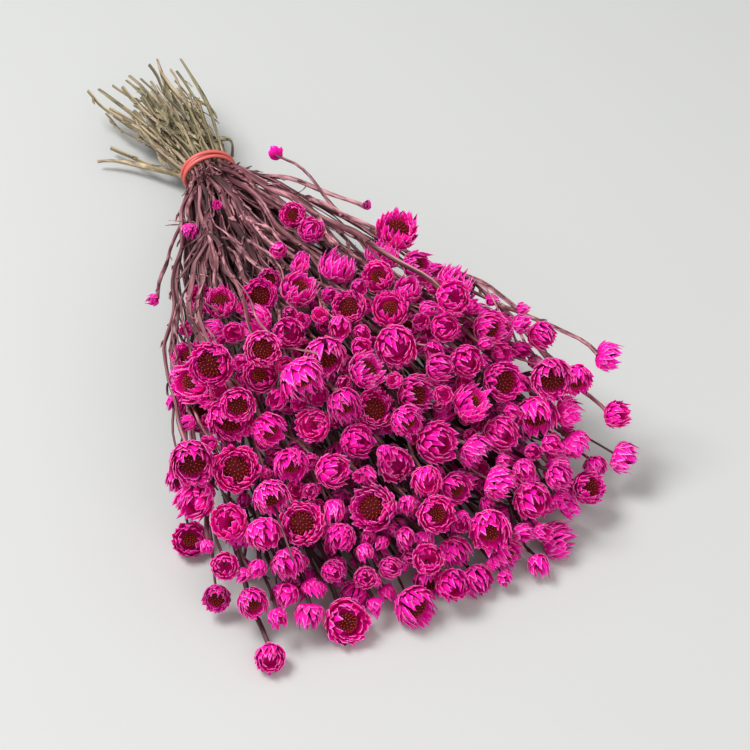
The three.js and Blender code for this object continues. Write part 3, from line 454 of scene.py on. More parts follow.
def place_on(knots, reach):
    """The place on a list of knots; beyond its ends it runs on straight."""
    at = 1
    while at < len(knots) - 1 and knots[at][0] < reach:
        at += 1
    (r0, x0, z0), (r1, x1, z1) = knots[at - 1], knots[at]
    t = (reach - r0) / (r1 - r0)
    return x0 + (x1 - x0) * t, z0 + (z1 - z0) * t


def samples_of(knots, start, end):
    found = []
    for slot in range(math.ceil(start / SAMPLE), math.floor(end / SAMPLE) + 1):
        x, z = place_on(knots, slot * SAMPLE)
        found.append(dict(slot=slot, reach=slot * SAMPLE, x=x, z=z))
    return found


print("samples of a path are", SAMPLE, "mm apart")

# %% The bunch as it grows
HEAD_ROOM, HEAD_STEM_ROOM, BRANCH_ROOM = -0.8, 1.3, 3


class Bunch:
    """The bunch as it grows: its paths, heads and samples."""

    def __init__(self):
        self.paths, self.heads, self.samples = [], [], {}
        self.set_rooms(HEAD_ROOM, HEAD_STEM_ROOM, BRANCH_ROOM)

    def set_rooms(self, heads, head_to_stem, branches):
        self.head_room, self.stem_room, self.branch_room = heads, head_to_stem, branches

    def add_path(self, path, samples):
        path["index"] = len(self.paths)
        self.paths.append(path)
        self.add_samples(path, samples)

    def add_samples(self, path, samples):
        for one in samples:
            self.samples.setdefault(one["slot"], []).append({**one, "path": path["index"]})

    def drop_samples(self, path, start):
        for slot, some in self.samples.items():
            if slot * SAMPLE >= start:
                self.samples[slot] = [one for one in some if one["path"] != path["index"]]

    def head_is_free(self, head, own):
        for other in self.heads:
            if not far_apart(head, other, head["size"] / 2 + other["size"] / 2 + self.head_room):
                return False
        room = head["size"] / 2 + self.stem_room
        first = math.ceil((head["reach"] - room) / SAMPLE)
        last = math.floor((head["reach"] + room) / SAMPLE)
        return not any(
            one["path"] != own and not far_apart(head, one, room)
            for slot in range(first, last + 1)
            for one in self.samples.get(slot, ())
        )

    def samples_are_free(self, samples, own):
        for one in samples:
            for other in self.samples.get(one["slot"], ()):
                if other["path"] != own and not far_apart(one, other, self.branch_room):
                    return False
            for head in self.heads:
                if not far_apart(head, one, head["size"] / 2 + self.stem_room):
                    return False
        return True


print("a branch keeps", BRANCH_ROOM, "mm clear of other paths")

# %% [markdown]
# A head sits on the end of its path. A stem's own head comes at the stem's tip, which
# bends a little to where the head has room. Side heads and the heads that were placed
# first each get a branch from the nearest path that leaves it a clear way. Each try is
# simple and may fail, and many tries fill the crown without a collision.

# %% A head on a path's end
HEAD_LIFT = 0.3
TIP_OVER, TIP_CLEAR, TIP_FLOOR = 2, 4, 3
TIP_EASE = ((0, 0), (0.5, 0.4), (1, 1))


def head_on(end, axis, size, kind):
    """A head on a path's end, raised where it would dip too far into the surface."""
    reach, x, z = end
    lift = HEAD_LIFT * size
    to_x, to_y, to_z = axis
    rise = max(0, size / 2 - FLOOR_DIP - (z + lift * to_z))
    place = dict(x=x + lift * to_x, reach=reach - lift * to_y, z=z + lift * to_z + rise)
    return dict(place, size=size, kind=kind, axis=axis, rise=rise)


def try_tip(bunch, path, reach, off, bend, size, kind, axis):
    """Tries to end a stem in a head this far off its course."""
    on_x, on_z = place_on(path["knots"], reach)
    end = (reach, on_x + off[0], max(TIP_FLOOR, on_z + off[1]))
    head = head_on(end, axis, size, kind)
    move_x, move_z = end[1] - on_x, end[2] + head["rise"] - on_z
    start = reach - bend
    knots = [knot for knot in path["knots"] if knot[0] < start - TIP_CLEAR]
    for share, ease in TIP_EASE:
        x, z = place_on(path["knots"], start + share * bend)
        knots.append((start + share * bend, x + move_x * ease, z + move_z * ease))
    samples = samples_of(knots, start, reach)
    width, _, _, lean = fan_at(reach)
    if abs(head["x"] - lean) > width + TIP_OVER:
        return False
    if not bunch.head_is_free(head, path["index"]):
        return False
    if not bunch.samples_are_free(samples, path["index"]):
        return False
    bunch.drop_samples(path, start)
    bunch.add_samples(path, samples)
    path.update(knots=knots, end=knots[-1][0], head=head)
    bunch.heads.append(head)
    return True


print("a head's middle is", HEAD_LIFT, "of its width past the path's end")

# %% The stems' own heads
TIP_TRIES, TIP_BEND, TIP_BEND_LEAST, TIP_OFF = 90, 45, 12, 26
TIP_OPEN, TIP_SETBACK, TIP_BACK_LEAST, TIP_BACK_MOST = 0.6, 6, 8, 34
TIP_SLOPE, TIP_SHRINK, TIP_SHRINK_FROM = 0.6, 0.8, 0.4
SPARE_SIZE, SPARE_STEP = 6, 3
FORK_CLEAR, FORK_PAST = 8, 3


def add_tip(bunch, stem, draw):
    """Ends a stem in a head, a smaller one or a bud where there is little room, or in none."""
    path = stem["path"]
    kind = "open" if next(draw) < TIP_OPEN else "closed"
    full = draw_size(kind, draw)
    wish = front_at(stem["across"], stem["up"]) - TIP_SETBACK
    axis = facing(stem["across"], stem["up"], wish, draw)
    for attempt in range(TIP_TRIES):
        share = attempt / TIP_TRIES
        reach = wish - TIP_BACK_LEAST * next(draw)
        reach -= TIP_BACK_MOST * share * next(draw)
        turn = 2 * math.pi * next(draw)
        bend = min(TIP_BEND, reach - path["rooted"] - TIP_CLEAR)
        off = min(TIP_OFF * share, TIP_SLOPE * bend) * next(draw)
        if bend < TIP_BEND_LEAST:
            continue
        size = full * (1 - TIP_SHRINK * max(0, share - TIP_SHRINK_FROM))
        aside = (off * math.cos(turn), off * math.sin(turn))
        if try_tip(bunch, path, reach, aside, bend, size, kind, axis):
            return
    reach = wish
    while reach > path["rooted"] + TIP_BEND_LEAST + TIP_CLEAR:
        if try_tip(bunch, path, reach, (0, 0), TIP_BEND_LEAST, SPARE_SIZE, "bud", axis):
            return
        reach -= SPARE_STEP
    reach = path["rooted"] + FORK_PAST
    knots = [knot for knot in path["knots"] if knot[0] < reach - FORK_CLEAR]
    knots.append((reach, *place_on(path["knots"], reach)))
    bunch.drop_samples(path, reach)
    path.update(knots=knots, end=reach)


print("tries before a stem gets only a bud:", TIP_TRIES)

# %% Branches and how they fork off
FORK_LEAST, FORK_PER_OFF, FORK_SLACK, FORK_WIDEST = 26, 2, 30, 42
FORK_NEAREST, FORK_SLOPE, FORK_AFTER, FORK_BEFORE_END = 10, 1.1, 12, 7
FORK_CHOICES = 6
BRANCH_STEPS, BRANCH_LOWEST = 3, 1.6


def try_branch(bunch, parent, head, end, start):
    """Tries to grow a branch that leaves its parent at a reach and bends out to a head."""
    on_x, on_z = place_on(parent["knots"], end[0])
    move_x, move_z = end[1] - on_x, end[2] + head["rise"] - on_z
    knots = []
    for step in range(BRANCH_STEPS + 1):
        share = step / BRANCH_STEPS
        ease = share * (2 - share)
        reach = start + (end[0] - start) * share
        x, z = place_on(parent["knots"], reach)
        knots.append((reach, x + move_x * ease, max(BRANCH_LOWEST, z + move_z * ease)))
    samples = samples_of(knots, start + FORK_PAST, end[0])
    if not bunch.samples_are_free(samples, parent["index"]):
        return False
    parent["rooted"] = max(parent["rooted"], start)
    branch = dict(knots=knots, start=start, rooted=start, end=end[0], back=False, parent=parent)
    branch.update(spray=parent["spray"], stem=False, head=head, twist=parent["twist"] + 1)
    bunch.add_path(branch, samples)
    bunch.heads.append(head)
    return True


def grow_branch(bunch, head, end, slack):
    """Grows a branch to a head from the nearest path that leaves it room."""
    near = []
    for path in bunch.paths:
        if path["back"]:
            continue
        x, z = place_on(path["knots"], end[0])
        off = math.hypot(end[1] - x, end[2] + head["rise"] - z)
        long = FORK_LEAST + FORK_PER_OFF * off + FORK_SLACK * slack
        start = max(FORK_NEAREST, path["start"] + FORK_AFTER, end[0] - long)
        if off < head["size"] / 2 + FORK_PAST / 2 or off > FORK_WIDEST:
            continue
        if off > FORK_SLOPE * (end[0] - start) or start > path["end"] - FORK_BEFORE_END:
            continue
        near.append((off, start, path))
    near.sort(key=lambda one: one[0])
    return any(
        try_branch(bunch, path, head, end, start) for _, start, path in near[:FORK_CHOICES]
    )


print("a branch forks off at least", FORK_NEAREST, "mm past the tie")

# %% Heads on branches
HEAD_SEED = 22410
MARK_SLACKS = [0.5, 0.9, 0.1, 1.4, -0.2]
SIDE_SLACKS = [0, 0.6, -0.5]
# Each round is a number of tries, how deep the heads sit, the share of the middle that
# stays free, and the share of buds
SIDE_ROUNDS = [(3500, 8, 0, 0.01), (3500, 30, 0, 0.02), (3500, 58, 0, 0.03), (900, 95, 0.8, 0.1)]
# One twig runs back towards the tie: its root and its places are (reach, x, z)
BACK_ROOT = (94, 34, 46)
BACK_POINTS = [(76, 30, 52), (60, 26, 55), (48, 22, 53)]
BACK_SIZE, BACK_AXIS = 7.5, (-0.3, 0.9, 0.1)


def add_mark(bunch, mark):
    """Grows a branch to one of the heads that were placed first."""
    lift = HEAD_LIFT * mark["size"]
    x, y, z = mark["axis"]
    end = (mark["reach"] + lift * y, mark["x"] - lift * x, mark["z"] - lift * z)
    head = head_on(end, mark["axis"], mark["size"], mark["kind"])
    if bunch.head_is_free(head, -1):
        any(grow_branch(bunch, head, end, slack) for slack in MARK_SLACKS)


def add_side(bunch, deep, inner, buds, draw):
    """Draws a head in the crown, and grows a branch to it if it has room."""
    kind = draw_kind(buds, draw)
    size = draw_size(kind, draw)
    turn = 2 * math.pi * next(draw)
    out = SIDE_EDGE * (inner + (1 - inner) * math.sqrt(next(draw)))
    across, up = out * math.cos(turn), out * math.sin(turn)
    reach = front_at(across, up) - deep * next(draw)
    axis = facing(across, up, reach, draw)
    slack = next(draw)
    end = (reach, *fan_point(reach, across, up))
    head = head_on(end, axis, size, kind)
    if bunch.head_is_free(head, -1):
        any(grow_branch(bunch, head, end, slack + more) for more in SIDE_SLACKS)


def add_back_twig(bunch):
    reach, near_x, near_z = BACK_ROOT
    parent, nearest = None, math.inf
    for path in bunch.paths:
        x, z = place_on(path["knots"], reach)
        off = math.hypot(x - near_x, z - near_z)
        if path["end"] >= reach and off <= nearest:
            parent, nearest = path, off
    knots = [(reach, *place_on(parent["knots"], reach)), *BACK_POINTS]
    head = head_on(knots[-1], unit(*BACK_AXIS), BACK_SIZE, "bud")
    samples = samples_of(knots[::-1], knots[-1][0], reach - FORK_PAST)
    parent["rooted"] = max(parent["rooted"], reach)
    twig = dict(knots=knots, start=reach, rooted=reach, end=knots[-1][0], back=True, parent=parent)
    twig.update(spray=parent["spray"], stem=False, head=head, twist=1)
    bunch.add_path(twig, samples)
    bunch.heads.append(head)


print("tries for side heads:", sum(round_[0] for round_ in SIDE_ROUNDS))

# %% Grow the bunch
HEAD_TOTAL, CUT_CLEAR = 204, 6


def lay_bunch(marks, stems):
    bunch = Bunch()
    for index, stem in enumerate(stems):
        line = [(r, x, z) for r, x, z in zip(LEVELS, stem["xs"], stem["zs"])]
        cut = -stem["tail"]
        knots = [(cut, *place_on(line, cut))]
        knots += [knot for knot in line if knot[0] > cut + CUT_CLEAR]
        sure = front_at(stem["across"], stem["up"]) - TIP_SETBACK - TIP_BEND
        path = dict(knots=knots, start=cut, rooted=0, end=LEVELS[-1], back=False, parent=None)
        path.update(spray=index, stem=True, head=None, twist=stem["twist"], slot=stem["slot"])
        bunch.add_path(path, samples_of(knots, cut, sure))
        stem["path"] = path
    add_back_twig(bunch)
    for mark in sorted(marks, key=lambda mark: mark["reach"]):
        add_mark(bunch, mark)
    draw = draws_from(HEAD_SEED)
    for stem in stems:
        add_tip(bunch, stem, draw)
    for tries, deep, inner, buds in SIDE_ROUNDS:
        for _ in range(tries):
            if len(bunch.heads) < HEAD_TOTAL:
                add_side(bunch, deep, inner, buds, draw)
    return bunch


bunch = lay_bunch(marks, stems)
kinds = [head["kind"] for head in bunch.heads]
print("paths:", len(bunch.paths), "heads:", {kind: kinds.count(kind) for kind in KIND_SIZES})

# %% [markdown]
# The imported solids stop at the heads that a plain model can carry. The real crown also has
# small bell-shaped heads in the gaps behind its face, so the same rule goes on here with
# smaller heads, which may sit closer to each other and to the stems.

# %% Small heads in the gaps
BELL_SEED = 515
BELL_ROOMS = (-0.9, 0.1, 1.1)
BELL_ROUNDS = [(2400, 22), (2400, 45), (1800, 80)]
BELL_SLACKS = (0, 0.5, -0.5)
BELL_NEAREST = 150


def add_bell(bunch, deep, draw):
    """Draws a small head behind the crown's face, and grows a branch to it if it has room."""
    size = draw_size("bell", draw)
    turn, out = 2 * math.pi * next(draw), SIDE_EDGE * math.sqrt(next(draw))
    across, up = out * math.cos(turn), out * math.sin(turn)
    reach = front_at(across, up) - deep * next(draw)
    axis = facing(across, up, reach, draw)
    end = (reach, *fan_point(reach, across, up))
    head = head_on(end, axis, size, "bell")
    if reach > BELL_NEAREST and bunch.head_is_free(head, -1):
        any(grow_branch(bunch, head, end, slack) for slack in BELL_SLACKS)


bunch.set_rooms(*BELL_ROOMS)
draw = draws_from(BELL_SEED)
for tries, deep in BELL_ROUNDS:
    for _ in range(tries):
        add_bell(bunch, deep, draw)
print("small heads added:", sum(head["kind"] == "bell" for head in bunch.heads))

# %% [markdown]
# From the rule to the scene
#
# The rule's own frame has its zero under the tie, and the scene's frame has it under the
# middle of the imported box. One place in both frames fixes the shift between them: the
# middle of the rubber band. Heads are made round the Z axis, one unit wide, and a matrix
# turns, sizes and places each copy, so every place in the bunch can share a few meshes.

# %% Places in metres
MM = 0.001
band_low, band_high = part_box("band")
TIE = Vector(((band_low[0] + band_high[0]) / 2, (band_low[1] + band_high[1]) / 2, 0))


def spot(x, reach, z):
    """A place of the rule, in metres in the scene's frame."""
    return TIE + Vector((x, -reach, z)) * MM


def head_matrix(head, spin, wide, tall):
    """Turns a head made round the Z axis, one unit wide, into one of the bunch's heads."""
    axis = Vector(head["axis"])
    size = head["size"] * MM
    base = spot(head["x"], head["reach"], head["z"]) - axis * HEAD_LIFT * size
    turn = axis.to_track_quat("Z", "Y").to_matrix().to_4x4()
    shape = Matrix.Diagonal((wide * size, wide * size, tall * size, 1))
    return Matrix.Translation(base) @ turn @ Matrix.Rotation(spin, 4, "Z") @ shape


print("the tie is at", [round(value / MM, 2) for value in TIE], "mm")

# %% [markdown]
# One papery bract
#
# A bract of an everlasting is a dry, paper-thin scale with a pointed tip. It could be
# drawn as a flat card with a picture on it, but then its rim would have no thickness to
# catch the light. Here it starts as a small grid with its own UV map and gets its
# thickness while it is still flat, so that this work is done once. The crowd of bracts is
# large, so the grid is coarse: sixteen faces are enough for a scale 5 mm wide.

# %% The flat bract
BRACT_COLUMNS, BRACT_ROWS = 2, 2
RIM_ANGLE = 1


def flat_bract():
    bm = bmesh.new()
    bm.loops.layers.uv.new("bract")
    bmesh.ops.create_grid(
        bm, x_segments=BRACT_COLUMNS, y_segments=BRACT_ROWS, size=0.5, calc_uvs=True
    )
    bmesh.ops.translate(bm, verts=bm.verts, vec=(0, 0.5, 0))
    bmesh.ops.solidify(bm, geom=bm.faces[:], thickness=-1)
    for vert in bm.verts:
        vert.co.z = 1 if vert.co.z > 0.5 else 0
    bmesh.ops.recalc_face_normals(bm, faces=bm.faces)
    for face in bm.faces:
        face.smooth = True
    for edge in bm.edges:
        edge.smooth = edge.calc_face_angle() < RIM_ANGLE
    mesh = bpy.data.meshes.new("flat_bract")
    bm.to_mesh(mesh)
    bm.free()
    return mesh


bract_mesh = flat_bract()
print("faces of a bract:", len(bract_mesh.polygons))

# %% [markdown]
# A bow is three points in a plane through the head's axis, each as (distance from the axis,
# height), in head widths. The bract's middle line follows the curve they pull. Across that
# line the bract wraps round the axis, one edge a little further out than the other, so that
# neighbours lie over each other like shingles. Dry bracts are never even, so each point of
# the outline is also drawn a little in or out, and the sheet is crumpled a little.

# %% Bend a bract round a head
BRACT_THICK = 0.01
BRACT_OUTLINE = (0.5, 1, 0.74)
BRACT_LEAN, BRACT_STRETCH = 0.05, (0.9, 1.06)
TIP_FROM, TIP_BACK, TIP_TUCK, TIP_FLARE = 0.9, 0.3, 0.006, 0.024
SHINGLE, KEEL, RAGGED, CRUMPLE = 0.01, 0.014, 0.17, 0.009
WRAP_LEAST = 0.18


def add_bract(bm, hidden, bow, turn, wide, rng):
    """Adds one bract to a head, without the share of it that its neighbours hide."""
    first = len(bm.verts)
    bm.from_mesh(bract_mesh)
    drawn = {}
    lean = rng.uniform(-BRACT_LEAN, BRACT_LEAN)
    flare = rng.uniform(-TIP_TUCK, TIP_FLARE)
    stretch = rng.uniform(*BRACT_STRETCH)
    (r0, h0), (r1, h1), (r2, h2) = bow
    for vert in list(bm.verts)[first:]:
        across, along, out = 2 * vert.co.x, vert.co.y, vert.co.z
        stray = rng.uniform(-RAGGED, RAGGED), rng.uniform(-CRUMPLE, CRUMPLE)
        rag, crumple = drawn.setdefault((round(across), round(along, 2)), stray)
        at_tip = along > TIP_FROM
        seen = hidden + (1 - hidden) * along
        reach = stretch * (seen + (rag - TIP_BACK * abs(across) if at_tip else 0))
        back = 1 - reach
        radius = back * back * r0 + 2 * back * reach * r1 + reach * reach * r2
        height = back * back * h0 + 2 * back * reach * h1 + reach * reach * h2
        run = back * (r1 - r0) + reach * (r2 - r1), back * (h1 - h0) + reach * (h2 - h1)
        long = math.hypot(*run)
        lift = BRACT_THICK * out + KEEL * (1 - abs(across)) + SHINGLE * across * along
        lift += flare * at_tip + crumple * along
        radius += lift * run[1] / long
        height -= lift * run[0] / long
        half = wide * BRACT_OUTLINE[round(along * BRACT_ROWS)] * (1 + rag)
        angle = turn + (across * half + lean * along) / max(radius, WRAP_LEAST)
        vert.co = (radius * math.cos(angle), radius * math.sin(angle), height)


print("a bract is", round(BRACT_THICK * KIND_SIZES["open"][1], 2), "mm thick on a large head")

# %% [markdown]
# Heads, from bud to open
#
# The bracts sit in whorls, each a little higher and further in than the one before. Open
# heads stay open like a cup round the disc, closed ones shut over it, and buds are long
# and narrow. Modelling every head by itself would take hours, and one head for all would
# look stamped. So a few heads of each kind are made, and all the heads of the bunch are
# turned and stretched copies of them.

# %% Whorls of each kind
# Each whorl is a number of bracts, half the width of one, and the three points of its bow
WHORLS = {
    "open": [
        (13, 0.14, (0.05, 0.00), (0.38, -0.03), (0.46, 0.14)),
        (15, 0.145, (0.06, 0.01), (0.48, -0.04), (0.52, 0.31)),
        (17, 0.13, (0.07, 0.03), (0.52, 0.06), (0.51, 0.48)),
        (17, 0.12, (0.08, 0.05), (0.51, 0.17), (0.43, 0.60)),
        (15, 0.11, (0.09, 0.08), (0.48, 0.26), (0.34, 0.63)),
        (12, 0.095, (0.10, 0.11), (0.42, 0.32), (0.27, 0.59)),
    ],
    "half": [
        (13, 0.14, (0.05, 0.00), (0.38, -0.03), (0.46, 0.16)),
        (15, 0.15, (0.06, 0.01), (0.49, -0.03), (0.50, 0.36)),
        (16, 0.14, (0.07, 0.03), (0.53, 0.08), (0.46, 0.54)),
        (15, 0.12, (0.08, 0.06), (0.51, 0.22), (0.35, 0.63)),
        (13, 0.10, (0.10, 0.09), (0.45, 0.32), (0.24, 0.65)),
    ],
    "closed": [
        (13, 0.14, (0.05, 0.00), (0.38, -0.03), (0.46, 0.17)),
        (15, 0.15, (0.06, 0.01), (0.49, -0.03), (0.49, 0.38)),
        (15, 0.145, (0.07, 0.03), (0.53, 0.10), (0.43, 0.57)),
        (13, 0.13, (0.08, 0.06), (0.50, 0.27), (0.28, 0.67)),
        (9, 0.11, (0.10, 0.09), (0.42, 0.38), (0.15, 0.70)),
    ],
    "bell": [
        (8, 0.19, (0.05, 0.00), (0.42, 0.00), (0.44, 0.34)),
        (9, 0.19, (0.06, 0.02), (0.50, 0.06), (0.43, 0.68)),
        (8, 0.17, (0.07, 0.05), (0.48, 0.24), (0.32, 0.84)),
        (5, 0.13, (0.08, 0.08), (0.40, 0.40), (0.18, 0.82)),
    ],
    "bud": [
        (6, 0.25, (0.05, 0.00), (0.58, 0.04), (0.44, 0.56)),
        (6, 0.24, (0.06, 0.05), (0.58, 0.26), (0.26, 0.88)),
        (5, 0.16, (0.08, 0.10), (0.48, 0.46), (0.10, 1.02)),
    ],
}
print("bracts of a head:", {kind: sum(row[0] for row in rows) for kind, rows in WHORLS.items()})

# %% The bracts of a head
HIDDEN_FROM, HIDDEN = 2, 0.35
TURN_STRAY, SWELL, BOW_STRAY, WIDE_STRAY = 0.25, (0.96, 1.03), (0.97, 1.03), (0.85, 1.12)


def head_bracts(kind, rng):
    bm = bmesh.new()
    bm.loops.layers.uv.new("bract")
    start = rng.uniform(0, math.tau)
    for row, (count, wide, *bow) in enumerate(WHORLS[kind]):
        hidden = HIDDEN if row >= HIDDEN_FROM else 0
        for index in range(count):
            place = index + 0.5 * (row % 2) + rng.uniform(-TURN_STRAY, TURN_STRAY)
            turn = start + math.tau * place / count
            swell = rng.uniform(*SWELL)
            bent = [(swell * out, up * rng.uniform(*BOW_STRAY)) for out, up in bow]
            add_bract(bm, hidden, bent, turn, wide * rng.uniform(*WIDE_STRAY), rng)
    mesh = bpy.data.meshes.new(f"{kind}_bracts")
    bm.to_mesh(mesh)
    bm.free()
    return mesh


HEADS_SEED = 7
VARIANTS = {"open": 5, "half": 3, "closed": 4, "bell": 3, "bud": 2}
rng = random.Random(HEADS_SEED)
bract_heads = {kind: [head_bracts(kind, rng) for _ in range(VARIANTS[kind])] for kind in WHORLS}
for kind, meshes in bract_heads.items():
    print(kind, "head:", len(meshes), "variants of", len(meshes[0].polygons), "faces")

# %% [markdown]
# The disc inside an open head is a low dome of tiny florets. A bump in the material would
# be enough from far off, but the discs are what one looks into, so each floret is a small
# four-sided cone, set round a squashed sphere at the golden angle, as seeds are. The UV map
# of a floret tells its material how high a point is.

# %% The disc of florets
DISCS = {"open": (0.27, 0.34), "half": (0.19, 0.38)}
DISC_VARIANTS = 2
DOME_SEGMENTS, DOME_RINGS, DOME_FLAT = 10, 6, 0.5
FLORETS, FLORET_SIDES, FLORET_TILT = 44, 4, 1.2
FLORET_WIDE, FLORET_TIP, FLORET_TALL, FLORET_STRAY = 0.03, 0.008, 0.09, (0.75, 1.15)


def head_disc(kind, rng):
    radius, height = DISCS[kind]
    bm = bmesh.new()
    uv = bm.loops.layers.uv.new("floret")
    dome = Matrix.Translation((0, 0, height)) @ Matrix.Diagonal((1, 1, DOME_FLAT, 1))
    bmesh.ops.create_uvsphere(
        bm, u_segments=DOME_SEGMENTS, v_segments=DOME_RINGS, radius=radius, matrix=dome
    )
    for index in range(FLORETS):
        share = (index + 0.5) / FLORETS
        turn = index * GOLDEN_ANGLE
        tilt = FLORET_TILT * math.sqrt(share)
        aside = math.sin(tilt)
        out = Vector((aside * math.cos(turn), aside * math.sin(turn), math.cos(tilt)))
        place = Vector((out.x * radius, out.y * radius, height + out.z * radius * DOME_FLAT))
        tall = FLORET_TALL * rng.uniform(*FLORET_STRAY)
        stand = Matrix.Translation(place) @ out.to_track_quat("Z", "Y").to_matrix().to_4x4()
        cone = bmesh.ops.create_cone(
            bm, cap_ends=True, segments=FLORET_SIDES, radius1=FLORET_WIDE, radius2=FLORET_TIP,
            depth=tall, matrix=stand,
        )
        upwards = sorted(cone["verts"], key=lambda vert: (vert.co - place).dot(out))
        for tip in upwards[FLORET_SIDES:]:
            for loop in tip.link_loops:
                loop[uv].uv = (share, 1)
    mesh = bpy.data.meshes.new(f"{kind}_disc")
    bm.to_mesh(mesh)
    bm.free()
    return mesh


disc_heads = {kind: [head_disc(kind, rng) for _ in range(DISC_VARIANTS)] for kind in DISCS}
print("faces of a disc:", len(disc_heads["open"][0].polygons))

# %% [markdown]
# Turning the heads
#
# On the plant no two heads face quite the same way. Each is tipped a little about its own
# middle, so that it keeps its room, and its stem then ends at its new base.

# %% Tip the heads
TIP_MOST = 0.5
TIP_SEED = 3


def tip_head(path, rng):
    head = path["head"]
    stray = Vector([rng.uniform(-1, 1) for _ in range(3)])
    head["axis"] = tuple((Vector(head["axis"]) + TIP_MOST * stray).normalized())
    lift = HEAD_LIFT * head["size"]
    x, y, z = head["axis"]
    low = max(head["z"] - lift * z, BRANCH_LOWEST)
    path["knots"][-1] = (head["reach"] + lift * y, head["x"] - lift * x, low)


rng = random.Random(TIP_SEED)
for path in bunch.paths:
    if path["head"]:
        tip_head(path, rng)
print("heads tipped:", sum(path["head"] is not None for path in bunch.paths))

# %% [markdown]
# Crinkled stems
#
# The rule's stems bend at a few levels only. Real ones are smooth bends with small crinkles,
# because they shrink unevenly as they dry. An easing curve through the knots takes the
# corners away, and two waves, a long and a short one, add the crinkles. They are left out
# near a head, which stays where it is, and a branch starts on its stem's own crinkles. The
# rubber band pulls all stems together at the tie, a little more in height than in width.

# %% A smooth way through a path's knots
PINCH, PINCH_ACROSS, PINCH_REACH = 0.17, 0.07, 45


def pinch_at(reach, most):
    """The band pulls the bunch together a little at the tie."""
    return 1 - most * (1 - smooth(abs(reach) / PINCH_REACH))


def eased(knots, reach):
    """A place on a list of knots, eased so that it turns no corners."""
    at = 1
    while at < len(knots) - 1 and (knots[at][0] < reach) == (knots[-1][0] > knots[0][0]):
        at += 1
    a, b = knots[at - 1], knots[at]
    before, after = knots[max(at - 2, 0)], knots[min(at + 1, len(knots) - 1)]
    span = b[0] - a[0]
    t = (reach - a[0]) / span
    found = []
    for axis in (1, 2):
        slope_a = (b[axis] - before[axis]) / (b[0] - before[0])
        slope_b = (after[axis] - a[axis]) / (after[0] - a[0])
        found.append(
            (2 * t**3 - 3 * t**2 + 1) * a[axis]
            + (t**3 - 2 * t**2 + t) * slope_a * span
            + (3 * t**2 - 2 * t**3) * b[axis]
            + (t**3 - t**2) * slope_b * span
        )
    return found


print("the band pulls the tie in by", PINCH_ACROSS, "across and by", PINCH, "in height")

# %% Crinkles
CRINKLE, CRINKLE_LONG = 1.05, 57
CRINKLE_SHORT, CRINKLE_SHORT_SHARE = 23, 0.16
HEAD_CALM, ROOT_CALM = 12, 4
PATH_LOWEST = 0.6 * BRANCH_LOWEST


def crinkle_at(reach, phase):
    long = math.sin(phase + math.tau * reach / CRINKLE_LONG)
    short = math.sin(2 * phase + math.tau * reach / CRINKLE_SHORT)
    return CRINKLE * (long + CRINKLE_SHORT_SHARE * short)


def along_path(path, reach):
    """A path's x and z at a reach, with its crinkles."""
    x, z = eased(path["knots"], reach)
    first, last = path["knots"][0][0], path["knots"][-1][0]
    share = (reach - first) / (last - first)
    calm = smooth(abs(last - reach) / HEAD_CALM)
    if path["parent"]:
        root_x, root_z = path["root_shift"]
        near = (1 - share) ** 2
        calm *= smooth(ROOT_CALM * share)
        x, z = x + near * root_x, z + near * root_z
    phase_x, phase_z = path["phases"]
    x, z = x + calm * crinkle_at(reach, phase_x), z + calm * crinkle_at(reach, phase_z)
    x, z = x * pinch_at(reach, PINCH_ACROSS), z * pinch_at(reach, PINCH)
    return x, max(z, PATH_LOWEST)


def path_place(path, reach):
    """A place on a path as (x, reach, z)."""
    x, z = along_path(path, reach)
    return x, reach, z


for path in bunch.paths:
    path["phases"] = (rng.uniform(0, math.tau), rng.uniform(0, math.tau))
    if path["parent"]:
        root, root_x, root_z = path["knots"][0]
        x, z = along_path(path["parent"], root)
        path["root_shift"] = (x - root_x, z - root_z)
print("paths eased:", len(bunch.paths))

# %% [markdown]
# Winged stems
#
# A winged stem is a thin stalk with a papery flange on both sides, and it twists as it
# dries. It could be swept face by face, but a curve with a winged section drawn along it
# gives the same with a few numbers: the curve's points carry their own width and twist.
# Once it looks right, the curve is turned into a mesh.

# %% The winged section
WING, WING_EDGE = 1.22, 0.1
CORE_WIDE, CORE_THICK = 0.6, 0.62


def winged_section():
    """The section as a closed curve: up the right side, over the core and down the left."""
    upper = [(WING, WING_EDGE), (CORE_WIDE, CORE_THICK), (-CORE_WIDE, CORE_THICK), (-WING, WING_EDGE)]
    corners = upper + [(-x, -y) for x, y in upper]
    data = bpy.data.curves.new("winged_section", "CURVE")
    data.dimensions = "2D"
    spline = data.splines.new("POLY")
    spline.points.add(len(corners) - 1)
    for point, (x, y) in zip(spline.points, corners):
        point.co = (x, y, 0, 1)
    spline.use_cyclic_u = True
    section = bpy.data.objects.new("winged_section", data)
    scene.collection.objects.link(section)
    return section


winged = winged_section()
print("corners of the winged section:", len(winged.data.splines[0].points))

# %% Stems and branches
STATION, STATIONS_LEAST = 6, 4
STEM_HALF, STEM_TIP_HALF, STEM_TAPER_REACH = 1.25, 0.7, 260
BRANCH_HALF, BRANCH_TIP_HALF, BELL_BRANCH = 0.95, 0.75, 0.7
TAIL_THIN, TAIL_THIN_REACH, TIE_THIN = 0.4, 20, 0.2
TWIST_SWING, TWIST_PER_MM, GIRTH = (0.2, 0.9), 0.03, (0.75, 1.15)
WING_WAVE, WAVE_PER_MM = 0.05, 0.2


def half_width(path, share, reach):
    if path["stem"]:
        taper = STEM_HALF + (STEM_TIP_HALF - STEM_HALF) * smooth(reach / STEM_TAPER_REACH)
        tail = 1 - TAIL_THIN * smooth(-reach / TAIL_THIN_REACH)
        return taper * pinch_at(reach, TIE_THIN) * tail
    full = BRANCH_HALF + (BRANCH_TIP_HALF - BRANCH_HALF) * share
    return full * (BELL_BRANCH if path["head"]["kind"] == "bell" else 1)


